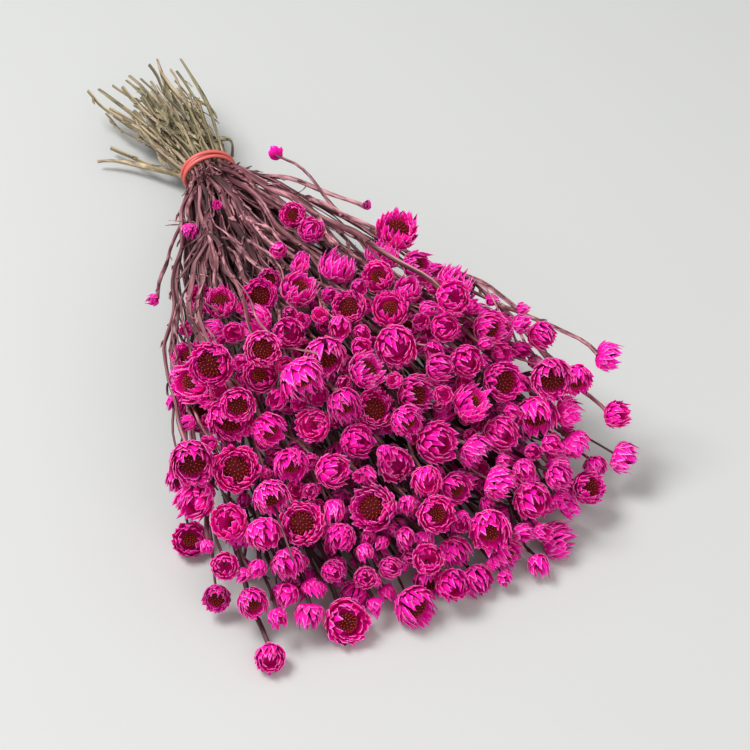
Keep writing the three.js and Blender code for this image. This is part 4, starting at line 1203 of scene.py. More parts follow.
def add_stem(data, path, rng):
    """Adds one path to the curve, with its width and twist at each point."""
    start, end = path["knots"][0][0], path["knots"][-1][0]
    steps = max(STATIONS_LEAST, round(abs(end - start) / STATION))
    spline = data.splines.new("POLY")
    spline.points.add(steps)
    phase, swing, girth = rng.uniform(0, math.tau), rng.uniform(*TWIST_SWING), rng.uniform(*GIRTH)
    for step, point in enumerate(spline.points):
        share = step / steps
        reach = start + (end - start) * share
        half = girth * half_width(path, share, reach)
        point.co = (*spot(*path_place(path, reach)), 1)
        point.radius = half * (1 + WING_WAVE * math.sin(WAVE_PER_MM * reach + phase)) * MM
        point.tilt = path["twist"] + swing * math.sin(TWIST_PER_MM * reach + phase)


print("wings of a stem:", round(2 * WING * STEM_HALF, 1), "mm across")

# %% Threads and meshes from curves
THREAD_ORDER, THREAD_STEPS = 3, 3
THREAD_TAPER, THREAD_TWIST = 0.4, 0.8


def add_thread(data, points, half):
    """Adds a smooth stalk through a few places of the rule to the curve, thinner at its end."""
    spline = data.splines.new("NURBS")
    spline.points.add(len(points) - 1)
    spline.order_u = THREAD_ORDER
    spline.use_endpoint_u = True
    spline.resolution_u = THREAD_STEPS
    for index, (point, place) in enumerate(zip(spline.points, points)):
        point.co = (*spot(*place), 1)
        point.radius = half * MM * (1 - THREAD_TAPER * index / len(points))
        point.tilt = THREAD_TWIST * index


def curve_to_bmesh(bm, data):
    """Adds the mesh of a curve to a bmesh."""
    thing = bpy.data.objects.new(data.name, data)
    scene.collection.objects.link(thing)
    found = thing.evaluated_get(bpy.context.evaluated_depsgraph_get())
    mesh = bpy.data.meshes.new_from_object(found)
    bm.from_mesh(mesh)
    bpy.data.objects.remove(thing)
    bpy.data.curves.remove(data)
    bpy.data.meshes.remove(mesh)


print("a thread thins to about", 1 - THREAD_TAPER, "of its width")

# %% [markdown]
# Dry twigs
#
# Between the stems run many thin dry twigs without a head: some wander along the bunch,
# some curl up at its edge, and broken bits lie between the cut ends. Low in the fan lie
# bare stalks that close the view to the floor. All these could be loose pieces, but each
# belongs to a spray, so they are drawn into the same curve as its stems. A twig that would
# run through a head is left out.

# %% Wandering twigs
TWIG_HALF, TWIG_LONG, TWIG_STEPS = (0.4, 0.75), (30, 90), 5
TWIG_ROOT, TWIG_ROOT_SPAN, TWIG_END_CLEAR = 15, 40, 50
TWIG_OFF, TWIG_STRAY = (5, 12), 1.2
OUTER_SLOT, INWARD_SPREAD = 0.7, 1.2
TWIG_HEAD_ROOM = 0.5


def meets_head(points):
    """Whether a twig would run through a head."""
    for place in points:
        for head in bunch.heads:
            apart = math.dist(place, (head["x"], head["reach"], head["z"]))
            if apart < TWIG_HEAD_ROOM * head["size"]:
                return True
    return False


def add_twig(data, path, rng):
    """A twig that leaves a stem, strays across its neighbours and ends dry."""
    across, up = path["slot"]
    root = rng.uniform(TWIG_ROOT, max(TWIG_ROOT_SPAN, path["knots"][-1][0] - TWIG_END_CLEAR))
    long = rng.uniform(*TWIG_LONG)
    turn = rng.uniform(0, math.tau)
    if math.hypot(across, up) > OUTER_SLOT:
        turn = math.atan2(-up, -across) + rng.uniform(-INWARD_SPREAD, INWARD_SPREAD)
    points = []
    for step in range(TWIG_STEPS + 1):
        share = step / TWIG_STEPS
        x, reach, z = path_place(path, root + long * share)
        off = rng.uniform(*TWIG_OFF) * share * share
        x += off * math.cos(turn) + TWIG_STRAY * share * rng.uniform(-1, 1)
        z += off * math.sin(turn) + TWIG_STRAY * share * rng.uniform(-1, 1)
        points.append((x, reach, max(z, BRANCH_LOWEST)))
    if not meets_head(points):
        add_thread(data, points, rng.uniform(*TWIG_HALF))


print("wandering twigs:", TWIG_LONG, "mm long")

# %% Broken bits between the cut ends
BIT_HALF, BIT_LONG, BIT_STEPS = (0.35, 0.6), 38, 3
BIT_ROOT, BIT_OFF, BIT_STRAY = (-34, -12), (1, 5), 0.8


def add_bit(data, path, rng):
    """A broken bit of stalk that lies across the cut ends."""
    root = rng.uniform(*BIT_ROOT)
    turn, off = rng.uniform(0, math.tau), rng.uniform(*BIT_OFF)
    points = []
    for step in range(BIT_STEPS + 1):
        share = step / BIT_STEPS
        aside = off * share + BIT_STRAY * rng.uniform(-1, 1) * share
        x, reach, z = path_place(path, root - BIT_LONG * share)
        up = max(z + aside * math.sin(turn), BRANCH_LOWEST)
        points.append((x + aside * math.cos(turn), reach, up))
    add_thread(data, points, rng.uniform(*BIT_HALF))


print("broken bits:", BIT_LONG, "mm long")

# %% Curled twigs at the edge
CURL_HALF, CURL_ROOT, CURL_SIZE = (0.28, 0.4), (12, 150), (5, 9)
CURL_STEPS, CURL_STEP, CURL_SHRINK = 8, 0.62, 0.07
CURL_OUT, CURL_ASIDE, CURL_AHEAD, CURL_START, CURL_UP = 0.5 / 3, 0.35, 1.6, 1.2, 0.6


def add_curl(data, path, rng):
    """A thin twig that curls up and back at the edge of the bunch."""
    across, up = path["slot"]
    x, root, z = path_place(path, rng.uniform(*CURL_ROOT))
    size = rng.uniform(*CURL_SIZE)
    turn = rng.choice((-1, 1))
    points = [(x, root, z)]
    for step in range(1, CURL_STEPS + 1):
        angle = CURL_STEP * step
        ring = size * (1 - CURL_SHRINK * step)
        out = CURL_OUT * size * step
        points.append((
            x + across * out + CURL_ASIDE * turn * ring * math.sin(angle),
            root + CURL_AHEAD * size + ring * math.sin(angle - CURL_START),
            max(z + up * out + CURL_UP * ring * (1 - math.cos(angle)), BRANCH_LOWEST),
        ))
    add_thread(data, points, rng.uniform(*CURL_HALF))


print("a curl is at most", 2 * CURL_SIZE[1], "mm across")

# %% Stalks under the fan
UNDER_STALKS, UNDER_SLOT, UNDER_WIDEST = 4, -0.1, 0.85
UNDER_ASIDE, UNDER_DOWN, UNDER_UP = 0.32, -0.15, 0.3
UNDER_HALF, UNDER_LAST = (0.9, 1.35), (120, 215)
UNDER_FROM, UNDER_STEP = 10, 24
UNDER_SWAY, UNDER_SWAY_LONG = 3, 110


def add_under(data, path, rng):
    """A headless side stalk low in the fan, which closes the view through it to the floor."""
    across = path["slot"][0] + rng.uniform(-UNDER_ASIDE, UNDER_ASIDE)
    up = path["slot"][1] + rng.uniform(UNDER_DOWN, UNDER_UP)
    inside = min(1, UNDER_WIDEST / math.hypot(across, up))
    phase, last = rng.uniform(0, math.tau), rng.uniform(*UNDER_LAST)
    points = [path_place(path, UNDER_FROM)]
    for reach in range(UNDER_FROM + UNDER_STEP, round(last), UNDER_STEP):
        x, z = fan_point(reach, across * inside, up * inside)
        x += UNDER_SWAY * math.sin(phase + math.tau * reach / UNDER_SWAY_LONG)
        points.append((x, reach, max(z * pinch_at(reach, PINCH), BRANCH_LOWEST)))
    while meets_head(points[-2:]):
        points.pop()
    add_thread(data, points, rng.uniform(*UNDER_HALF))


low_sprays = sum(stem["slot"][1] < UNDER_SLOT for stem in stems)
print("sprays with stalks under the fan:", low_sprays)

# %% [markdown]
# Odd stem ends
#
# A few cut ends stand clear of the tuft below the band, and one hooks over beside it. Drawn
# numbers wouldn't give these, so each is a short list of given places, and it grows
# from the stem that passes closest to its first place.

# %% Stem ends that stand out of the tuft
# Each is a half width and the places it passes: (across, reach, height)
ODD_ENDS = {
    "hook": (1.2, [
        (8.5, -16, 24), (9.2, -12.6, 27), (12.2, -8.5, 29.5),
        (14.5, -7.4, 29), (14.8, -5, 26), (14, -5.3, 20),
    ]),
    "long left": (1.15, [
        (-5, -12, 29), (-4.9, -30, 28.5), (-3, -58, 29), (-2, -74, 31), (-0.5, -88, 32),
    ]),
    "long right": (1.15, [
        (9, -6, 28), (10.5, -20, 28.5), (13.5, -42, 28), (13.2, -62, 29), (11.9, -87, 30),
    ]),
    "low stub": (1.5, [
        (-10, -8, 12), (-21, -24, 9), (-31, -37, 7), (-40, -44, 6.5), (-46, -47, 5),
    ]),
    "left end": (1.1, [(-8, -14, 22), (-17, -42, 21), (-26, -70, 20), (-33, -90, 20)]),
    "lower left end": (1.0, [(-11, -14, 18), (-20, -42, 16), (-29, -66, 15), (-35, -83, 15)]),
}
ODD_ROOT = 8


def nearest_stem(place):
    """The stem that passes closest to a place."""
    def gap(path):
        x, z = along_path(path, place[1])
        return math.hypot(x - place[0], z - place[2])

    return min((path for path in bunch.paths if path["stem"]), key=gap)


def add_odd_end(data, path, half, places):
    """Joins an odd end to its stem a little before the first of its places."""
    add_thread(data, [path_place(path, places[0][1] + ODD_ROOT), *places], half)


odd_ends = {name: nearest_stem(places[0]) for name, (half, places) in ODD_ENDS.items()}
for name, path in odd_ends.items():
    print("the", name, "grows from spray", path["spray"] + 1)

# %% [markdown]
# One curve holds all the stalks of a spray, so one conversion makes them a mesh. The outer
# stems get the curls, the inner ones the broken bits, and the low ones the stalks under the
# fan. Each stalk stays an island of its own in the mesh, which its material makes use of.

# %% The stalks of one spray
TWIGS = 8
CURL_SLOT, CURL_LOWEST = 0.75, -0.4
UNDER_SEED = 31
under_rng = random.Random(UNDER_SEED)


def add_twigs(data, path, rng):
    """The twigs of a stem, by its place at the tie."""
    outward, up = math.hypot(*path["slot"]), path["slot"][1]
    for _ in range(TWIGS):
        add_twig(data, path, rng)
    if outward < OUTER_SLOT:
        add_bit(data, path, rng)
    if outward > CURL_SLOT and up > CURL_LOWEST:
        add_curl(data, path, rng)
    if up < UNDER_SLOT:
        for _ in range(UNDER_STALKS):
            add_under(data, path, under_rng)


def spray_stems(number, rng):
    data = bpy.data.curves.new("stems", "CURVE")
    data.dimensions = "3D"
    data.bevel_mode = "OBJECT"
    data.bevel_object = winged
    data.use_fill_caps = True
    for path in bunch.paths:
        if path["spray"] != number:
            continue
        add_stem(data, path, rng)
        if path["stem"]:
            add_twigs(data, path, rng)
        for name, (half, places) in ODD_ENDS.items():
            if path is odd_ends[name]:
                add_odd_end(data, path, half, places)
    bm = bmesh.new()
    bm.loops.layers.uv.new("UVMap")
    curve_to_bmesh(bm, data)
    bmesh.ops.recalc_face_normals(bm, faces=bm.faces)
    return bm


print("wandering twigs of a stem, at most:", TWIGS)

# %% [markdown]
# Dry leaf scraps
#
# What is left of the leaves are brittle, curled scraps: broad ones on the cut ends below
# the band, small scales on the stems in the crown, and a grey tuft just in front of the
# band. Scraps could be scattered as particles, but those don't become solid pieces. So each
# is a narrow grid that follows its stem, flares out from it and curls, with a little
# thickness.

# %% One leaf scrap
LEAF_COLUMNS, LEAF_ROWS, LEAF_THICK = 2, 4, 0.25
LEAF_DOWN, LEAF_INNER, LEAF_TURN = -0.2, 0.5, 0.7
LEAF_CURL, LEAF_SWAY, LEAF_RAGGED = (0.2, 0.9), 0.25, (0.75, 1.2)
LEAF_ALONG, LEAF_OUTLINE, LEAF_RISE = 0.9, (0.14, 0.78), (1.5, 0.6)


def leaf_turn(path, rng):
    """The way a scrap flares: outwards on outer stems, and never far down."""
    turn = rng.uniform(0, math.tau)
    if path["stem"] and math.hypot(*path["slot"]) > LEAF_INNER:
        turn = math.atan2(path["slot"][1], path["slot"][0]) + rng.uniform(-LEAF_TURN, LEAF_TURN)
    return -turn if math.sin(turn) < LEAF_DOWN else turn


def add_leaf(bm, path, root, long, half, flare, rng):
    """A curled scrap on a stem, which flares out from it by a share of its length."""
    turn = leaf_turn(path, rng)
    out = Vector((math.cos(turn), 0, math.sin(turn)))
    side = Vector((-out.z, 0, out.x))
    leaf = bmesh.ops.create_grid(
        bm, x_segments=LEAF_COLUMNS, y_segments=LEAF_ROWS, size=0.5, calc_uvs=True
    )["verts"]
    faces = list({face for vert in leaf for face in vert.link_faces})
    curl, sway = rng.uniform(*LEAF_CURL), rng.uniform(-LEAF_SWAY, LEAF_SWAY)
    for vert in leaf:
        wide, along = 2 * vert.co.x, vert.co.y + 0.5
        outline = math.sin(math.pi * (LEAF_OUTLINE[0] + LEAF_OUTLINE[1] * along))
        here = half * outline * rng.uniform(*LEAF_RAGGED)
        rise = flare * long * along * (LEAF_RISE[0] - LEAF_RISE[1] * along)
        rise += curl * abs(wide) * here
        aside = wide * here + sway * long * along * along
        place = path_place(path, root + long * along * LEAF_ALONG)
        vert.co = spot(*place) + (out * rise + side * aside) * MM
    bmesh.ops.recalc_face_normals(bm, faces=faces)
    bmesh.ops.solidify(bm, geom=faces, thickness=LEAF_THICK * MM)


print("a scrap is", LEAF_THICK, "mm thick")

# %% All scraps of a path
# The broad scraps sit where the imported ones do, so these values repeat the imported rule
LEAF_RING, LEAF_LOWEST = 0.84, -0.35
BROAD_BELOW, BROAD_STRAY, BROAD_STEP, BROAD_ABOVE = -38, 10, 7, 18
BROAD = (17, 2, 0.36)
# A kind of scrap is a count, and the spans of its length, half width and flare
TAIL_SCRAPS = (8, (3, 11), (0.3, 1.1), (0.05, 0.3))
CROWN_SCRAPS = (5, (4, 11), (0.6, 1.4), (0.1, 0.4))
TUFT_SCRAPS = (9, (2, 6), (0.2, 0.5), (0.6, 0.6))
HEAD_SCRAPS = (2, (2.5, 5), (0.4, 0.8), (0.45, 0.45))
TAIL_FROM, TAIL_TO, CROWN_ROOTS = 4, -14, (25, 190)
TUFT_ROOTS, TUFT_SLOT = (4, 26), 0.2
HEAD_NEAR, HEAD_FAR = 4, 0.7


def leaf_roots(path):
    """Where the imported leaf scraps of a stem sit, by its place at the tie."""
    across, up = path["slot"]
    if math.hypot(across, up) < LEAF_RING or up < LEAF_LOWEST or path["spray"] % 2:
        return []
    below = BROAD_BELOW + BROAD_STRAY * math.sin(BROAD_STEP * path["spray"])
    return [below, BROAD_ABOVE] if path["spray"] % 3 == 0 else [below]


def draw_in(span, rng):
    """A number in a span; a span of one value takes no draw."""
    low, high = span
    return low if low == high else rng.uniform(low, high)


def add_scraps(bm, path, kind, roots, rng):
    count, *spans = kind
    for _ in range(count):
        root = draw_in(roots, rng)
        add_leaf(bm, path, root, *[draw_in(span, rng) for span in spans], rng)


def add_leaves(bm, path, rng):
    """All leaf scraps of one path."""
    first, last = path["knots"][0][0], path["knots"][-1][0]
    if path["stem"]:
        for root in leaf_roots(path):
            add_leaf(bm, path, root, *BROAD, rng)
        add_scraps(bm, path, TAIL_SCRAPS, (first + TAIL_FROM, TAIL_TO), rng)
        add_scraps(bm, path, CROWN_SCRAPS, CROWN_ROOTS, rng)
        if path["slot"][1] > TUFT_SLOT:
            add_scraps(bm, path, TUFT_SCRAPS, TUFT_ROOTS, rng)
    if path["head"] and not path["back"]:
        roots = (last - HEAD_NEAR, last - HEAD_FAR * abs(last - first))
        add_scraps(bm, path, HEAD_SCRAPS, roots, rng)


print("stems with broad scraps:", sum(bool(p["stem"] and leaf_roots(p)) for p in bunch.paths))

# %% [markdown]
# The pieces
#
# Each spray becomes up to three pieces, because its parts differ in finish: its stems, its
# bracts and its discs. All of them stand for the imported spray. Some open heads are only
# half open, and some buds have a fringed mouth already.

# %% Finish a piece
FLOOR = 0.15 * MM


def finish_piece(name, bm, node, material):
    """Makes a piece of a bmesh, which rides on the bunch's one body and stands for a node."""
    for vert in bm.verts:
        vert.co.z = max(vert.co.z, FLOOR)
    bmesh.ops.triangulate(bm, faces=[face for face in bm.faces if len(face.verts) > 4])
    mesh = bpy.data.meshes.new(name)
    bm.to_mesh(mesh)
    bm.free()
    mesh.materials.append(material)
    piece = bpy.data.objects.new(name, mesh)
    scene.collection.objects.link(piece)
    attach(piece, "root")
    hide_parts(node)


print("no piece reaches below", FLOOR / MM, "mm")

# %% Heads of a spray
DRAWN = 0.96
HEAD_WIDE, HEAD_TALL = (0.95, 1.05), (0.94, 1.03)
OTHER_KINDS = {"open": ("half", 0.3), "bud": ("bell", 0.4)}


def kind_of(head, rng):
    """The kind of head to draw: a share of some kinds is drawn as another."""
    other, share = OTHER_KINDS.get(head["kind"], (None, 0))
    return other if rng.random() < share else head["kind"]


def add_copy(bm, mesh, matrix, tone):
    """Adds a placed copy of a head's mesh, and gives its points the head's tone."""
    first = len(bm.verts)
    bm.from_mesh(mesh)
    new = list(bm.verts)[first:]
    bmesh.ops.transform(bm, matrix=matrix, verts=new)
    layer = bm.verts.layers.float["tone"]
    for vert in new:
        vert[layer] = tone


def add_head(bracts, discs, head, rng):
    kind = kind_of(head, rng)
    wide, tall = DRAWN * rng.uniform(*HEAD_WIDE), rng.uniform(*HEAD_TALL)
    matrix = head_matrix(head, rng.uniform(0, math.tau), wide, tall)
    tone = rng.random()
    add_copy(bracts, rng.choice(bract_heads[kind]), matrix, tone)
    if kind in disc_heads:
        add_copy(discs, rng.choice(disc_heads[kind]), matrix, tone)


for kind, (other, share) in OTHER_KINDS.items():
    print(f"{share:.0%} of the {kind} heads are drawn as {other}")

# %% Put the sprays together
SPRAY_SEED = 11
# The stalks of a spray get painted shade by how low its stem lies at the tie: most at the first of
# these heights and below, none at the second and above
PAINTED_SHADE_LOW, PAINTED_SHADE_HIGH = -0.6, 0.9
bract_paper = bpy.data.materials.new("bract_paper")
floret_felt = bpy.data.materials.new("floret_felt")
winged_stem = bpy.data.materials.new("winged_stem")
band_rubber = bpy.data.materials.new("band_rubber")


def dress_spray(number, rng):
    """Makes the pieces of one spray; low stems in the bunch get a lower tone, which paints shade on
    their stalks.
    """
    node = f"spray_{number + 1:02d}"
    stalks, bracts, discs = spray_stems(number, rng), bmesh.new(), bmesh.new()
    for bm in (stalks, bracts, discs):
        bm.verts.layers.float.new("tone")
    for path in bunch.paths:
        if path["spray"] == number:
            add_leaves(stalks, path, rng)
            if path["head"]:
                add_head(bracts, discs, path["head"], rng)
    # Painted shade: the lower the stem lies in the bunch, the darker its stalks
    layer = stalks.verts.layers.float["tone"]
    tone = smooth((stems[number]["slot"][1] - PAINTED_SHADE_LOW) / (PAINTED_SHADE_HIGH - PAINTED_SHADE_LOW))
    for vert in stalks.verts:
        vert[layer] = tone
    finish_piece(f"{node}_stems", stalks, node, winged_stem)
    finish_piece(f"{node}_bracts", bracts, node, bract_paper)
    if len(discs.verts):
        finish_piece(f"{node}_discs", discs, node, floret_felt)
    else:
        discs.free()


rng = random.Random(SPRAY_SEED)
for number in range(STEM_COUNT):
    dress_spray(number, rng)
bpy.data.objects.remove(winged)
made = [thing for thing in scene.objects if thing.name.endswith(("_stems", "_bracts", "_discs"))]
triangles = [sum(len(face.vertices) - 2 for face in thing.data.polygons) for thing in made]
print("pieces:", len(made), "triangles:", sum(triangles), "most:", max(triangles))

# %% [markdown]
# The rubber band
#
# A rubber band is wound three times round the stems. Three rings would look like three
# bands, so it is one round strand, drawn along a coil whose turns lie over and beside each
# other and which closes on itself, as a band does.

# %% Wind the band
BAND_STRAND, BAND_RING, BAND_OUT, BAND_ALONG, BAND_TURNS = 0.95, 12.7, 0.6, 2.3, 3
BAND_POINTS, BAND_ROUND = 180, 2
data = bpy.data.curves.new("band_coil", "CURVE")
data.dimensions = "3D"
data.bevel_depth = BAND_STRAND * MM
data.bevel_resolution = BAND_ROUND
coil = data.splines.new("POLY")
coil.points.add(BAND_POINTS - 1)
coil.use_cyclic_u = True
for index, point in enumerate(coil.points):
    share = index / BAND_POINTS
    radius = BAND_RING + BAND_OUT * math.cos(math.tau * share)
    turn = math.tau * BAND_TURNS * share
    across, up = radius * math.cos(turn), TIE_HEIGHT + radius * math.sin(turn)
    along = BAND_ALONG * math.sin(math.tau * share)
    point.co = (*(TIE + Vector((across, along, up * pinch_at(0, PINCH))) * MM), 1)
band_bm = bmesh.new()
curve_to_bmesh(band_bm, data)
bmesh.ops.recalc_face_normals(band_bm, faces=band_bm.faces)
finish_piece("band_coil", band_bm, "band", band_rubber)
print("band wound", BAND_TURNS, "times")

# %% [markdown]
# Finishes
#
# Colours are written as the hex values one would pick on a screen. Blender works in linear
# light, so one function converts them. Another adds a node with its settings and links, so
# that each material reads as a short list of what it is made of.

# %% Helpers for materials
def linear(hexa):
    """An sRGB hex colour as linear RGBA."""
    parts = [int(hexa[at:at + 2], 16) / 255 for at in (0, 2, 4)]
    return (*[p / 12.92 if p <= 0.04045 else ((p + 0.055) / 1.055) ** 2.4 for p in parts], 1)


def add_node(tree, kind, settings, links):
    """A node with its settings, by a property's or a socket's name, and links into it."""
    node = tree.nodes.new(kind)
    for name, value in settings.items():
        if name == "stops":
            while len(node.color_ramp.elements) < len(value):
                node.color_ramp.elements.new(0.5)
            for stop, (place, hexa) in zip(node.color_ramp.elements, value):
                stop.position = place
                stop.color = linear(hexa)
        elif hasattr(node, str(name)):
            setattr(node, name, value)
        else:
            node.inputs[name].default_value = value
    for name, source in links.items():
        tree.links.new(source, node.inputs[name])
    return node


def empty_tree(material):
    material.use_nodes = True
    material.node_tree.nodes.clear()
    return material.node_tree


print("the bracts' pink in linear light:", [round(part, 3) for part in linear("fc12a2")])

# %% [markdown]
# Dyed bracts
#
# Dyed bracts are dry paper: matt, with fine veins along them. Their colour holds painted shade,
# deep magenta where they root between their neighbours, and a painted highlight, paler at the
# tip and the sides, where they are thinnest and light comes through. One flat pink would look
# like plastic. So a ramp runs along the bract's own UV map from the painted shade to the
# painted highlight, streaks of dye and a mottle shift it, and each head has its own tone, kept
# in its points.

# %% Bract paper: painted shade at the root, painted highlight at the tip and sides, streaks of dye
# The veins are 0.5 mm apart, drawn a little coarser than real ones so that they show
BRACT_WIDE_MM, BRACT_LONG_MM, VEIN_GAP_MM, VEIN_DEEP_MM = 4.5, 6, 0.5, 0.1
STREAK_WIDE_MM, STREAK_LONG_MM, MOTTLE_MM = 0.5, 5, 3.84615
# The side highlight is a painted highlight: a bract is paler towards its side edges
STREAKS, MOTTLE, SIDE_HIGHLIGHT, SIDE_HIGHLIGHT_SHARP = 0.7, 0.3, 0.18, 5
TONE_SHIFT = 60
tree = empty_tree(bract_paper)
uv = add_node(tree, "ShaderNodeUVMap", {"uv_map": "bract"}, {})
part = add_node(tree, "ShaderNodeSeparateXYZ", {}, {"Vector": uv.outputs[0]})
where = add_node(tree, "ShaderNodeTexCoord", {}, {})
tone = add_node(tree, "ShaderNodeAttribute", {"attribute_name": "tone"}, {})
mottle = add_node(
    tree, "ShaderNodeTexNoise", {"Scale": 1 / (MOTTLE_MM * MM), "Detail": 3},
    {"Vector": where.outputs["Object"]},
)
mottled = add_node(
    tree, "ShaderNodeMath", {"operation": "MULTIPLY_ADD", 1: MOTTLE, 2: -MOTTLE / 2},
    {0: mottle.outputs[0]},
)
streak_size = (BRACT_WIDE_MM / STREAK_WIDE_MM, BRACT_LONG_MM / STREAK_LONG_MM, 1)
streak_uv = add_node(
    tree, "ShaderNodeVectorMath", {"operation": "MULTIPLY_ADD", 1: streak_size, 2: (0, 0, 0)},
    {0: uv.outputs[0]},
)
head_shift = add_node(tree, "ShaderNodeCombineXYZ", {}, {"Z": tone.outputs["Fac"]})
streak_place = add_node(
    tree, "ShaderNodeVectorMath", {"operation": "MULTIPLY_ADD", 1: (0, 0, TONE_SHIFT)},
    {0: head_shift.outputs[0], 2: streak_uv.outputs[0]},
)
streak = add_node(
    tree, "ShaderNodeTexNoise", {"Scale": 1, "Detail": 2}, {"Vector": streak_place.outputs[0]}
)
streaked = add_node(
    tree, "ShaderNodeMath", {"operation": "MULTIPLY_ADD", 1: STREAKS, 2: -STREAKS / 2},
    {0: streak.outputs[0]},
)
middle = add_node(
    tree, "ShaderNodeMath", {"operation": "MULTIPLY_ADD", 1: 2, 2: -1}, {0: part.outputs["X"]}
)
side = add_node(tree, "ShaderNodeMath", {"operation": "ABSOLUTE"}, {0: middle.outputs[0]})
# Painted highlight along the sides of a bract, strongest at the edges
side_highlight = add_node(tree, "ShaderNodeMath", {"operation": "POWER", 1: SIDE_HIGHLIGHT_SHARP}, {0: side.outputs[0]})
# Painted shade at the root and a painted highlight at the tip, with the side highlight added
shade_to_highlight = add_node(
    tree, "ShaderNodeMath", {"operation": "MULTIPLY_ADD", 1: SIDE_HIGHLIGHT},
    {0: side_highlight.outputs[0], 2: part.outputs["Y"]},
)
with_streaks = add_node(tree, "ShaderNodeMath", {}, {0: shade_to_highlight.outputs[0], 1: streaked.outputs[0]})
# The ramp's place: painted shade to painted highlight along the bract, shifted by real streaks of dye
# and mottle
depth = add_node(tree, "ShaderNodeMath", {}, {0: with_streaks.outputs[0], 1: mottled.outputs[0]})
print("streaks of dye on a bract:", round(streak_size[0]))

# %% Bract paper: colour, veins and glow
# To the eye this is dyed tissue: no shine, with painted shade at the root and a painted highlight on
# the rims, where light comes through
BRACT_DYE_SHADE_HIGHLIGHT = [(0.0, "b40860"), (0.4, "ee0890"), (0.8, "fc12a2"), (0.95, "ff30ae"), (1.0, "ff80c8")]
TONE_DARK, TONE_PALE = 0.88, 1.16
PAPER_GLOW_MM = 2
# The ramp paints shade at the root of each bract and a highlight at its tip and sides
ramp_colour = add_node(tree, "ShaderNodeValToRGB", {"stops": BRACT_DYE_SHADE_HIGHLIGHT}, {"Fac": depth.outputs[0]})
bright = add_node(
    tree, "ShaderNodeMapRange", {"To Min": TONE_DARK, "To Max": TONE_PALE},
    {"Value": tone.outputs["Fac"]},
)
toned = add_node(
    tree, "ShaderNodeHueSaturation", {}, {"Color": ramp_colour.outputs["Color"], "Value": bright.outputs[0]}
)
vein = add_node(
    tree, "ShaderNodeMath", {"operation": "MULTIPLY", 1: BRACT_WIDE_MM / VEIN_GAP_MM * math.tau},
    {0: part.outputs["X"]},
)
wave = add_node(tree, "ShaderNodeMath", {"operation": "SINE"}, {0: vein.outputs[0]})
bump = add_node(
    tree, "ShaderNodeBump", {"Strength": 0.35, "Distance": VEIN_DEEP_MM * MM},
    {"Height": wave.outputs[0]},
)
paper = add_node(
    tree, "ShaderNodeBsdfPrincipled",
    {"Roughness": 0.6, "Subsurface Weight": 0.4, "Subsurface Radius": (1, 0.15, 0.45),
     "Subsurface Scale": PAPER_GLOW_MM * MM, "Specular IOR Level": 0.1},
    {"Base Color": toned.outputs[0], "Normal": bump.outputs[0]},
)
add_node(tree, "ShaderNodeOutputMaterial", {}, {"Surface": paper.outputs[0]})
print("bract paper nodes:", len(tree.nodes))

# %% [markdown]
# Florets
#
# The florets of a dried disc are felty and dark red, with a dull gold tip where the pollen
# was. A noise could speckle the disc, but each floret is a real cone here, so its own UV
# map can colour it from root to tip.

# %% Floret felt
# To the eye this is dark velvet with gold dots: it hardly shines, and only the tips are light
FLORET_DYE = [(0.0, "45040f"), (0.7, "7c0c1c"), (0.93, "8c3620"), (1.0, "ac7432")]
tree = empty_tree(floret_felt)
uv = add_node(tree, "ShaderNodeUVMap", {"uv_map": "floret"}, {})
part = add_node(tree, "ShaderNodeSeparateXYZ", {}, {"Vector": uv.outputs[0]})
ramp_colour = add_node(tree, "ShaderNodeValToRGB", {"stops": FLORET_DYE}, {"Fac": part.outputs["Y"]})
felt = add_node(
    tree, "ShaderNodeBsdfPrincipled", {"Roughness": 0.9, "Specular IOR Level": 0.15},
    {"Base Color": ramp_colour.outputs["Color"]},
)
add_node(tree, "ShaderNodeOutputMaterial", {}, {"Surface": felt.outputs[0]})
print("floret felt nodes:", len(tree.nodes))

# %% [markdown]
# Dyed stems
#
# The stems are dry bark-like stalks that took up less dye than the bracts: dusty mauve in
# the crown and undyed straw below the band, where the dye bath ended. The stems that lie low
# inside the bunch are given painted shade, a dark mauve mixed into their colour. The fibres
# follow each stalk, so the noise is drawn on the UV map that the curve gave, not in space,
# where it would cut across. Every stalk is an island of its mesh, and its island number gives
# it fibres and a tone of its own.

# %% Winged stem: fibres along each stalk
# A stalk is taken as 252 mm long and 8 mm round, and its fibres as 28 mm by 1.6 mm
STALK_MM, STALK_ROUND_MM, FIBRE_MM, FIBRE_WIDE_MM = 252, 8, 28, 1.6
FIBRE_DEEP_MM, STALK_SHIFT, OWN_TONE = 0.2, 90, 0.24
tree = empty_tree(winged_stem)
uv = add_node(tree, "ShaderNodeUVMap", {"uv_map": "UVMap"}, {})
stalk = add_node(tree, "ShaderNodeNewGeometry", {}, {})
fibre_size = (STALK_MM / FIBRE_MM, STALK_ROUND_MM / FIBRE_WIDE_MM, 1)
fibre_uv = add_node(
    tree, "ShaderNodeVectorMath", {"operation": "MULTIPLY_ADD", 1: fibre_size, 2: (0, 0, 0)},
    {0: uv.outputs[0]},
)
stalk_shift = add_node(tree, "ShaderNodeCombineXYZ", {}, {"Z": stalk.outputs["Random Per Island"]})
fibre_place = add_node(
    tree, "ShaderNodeVectorMath", {"operation": "MULTIPLY_ADD", 1: (0, 0, STALK_SHIFT)},
    {0: stalk_shift.outputs[0], 2: fibre_uv.outputs[0]},
)
fibre = add_node(
    tree, "ShaderNodeTexNoise", {"Scale": 1, "Detail": 4}, {"Vector": fibre_place.outputs[0]}
)
own = add_node(
    tree, "ShaderNodeMath", {"operation": "MULTIPLY_ADD", 1: OWN_TONE, 2: -OWN_TONE / 2},
    {0: stalk.outputs["Random Per Island"]},
)
shade = add_node(tree, "ShaderNodeMath", {}, {0: fibre.outputs[0], 1: own.outputs[0]})
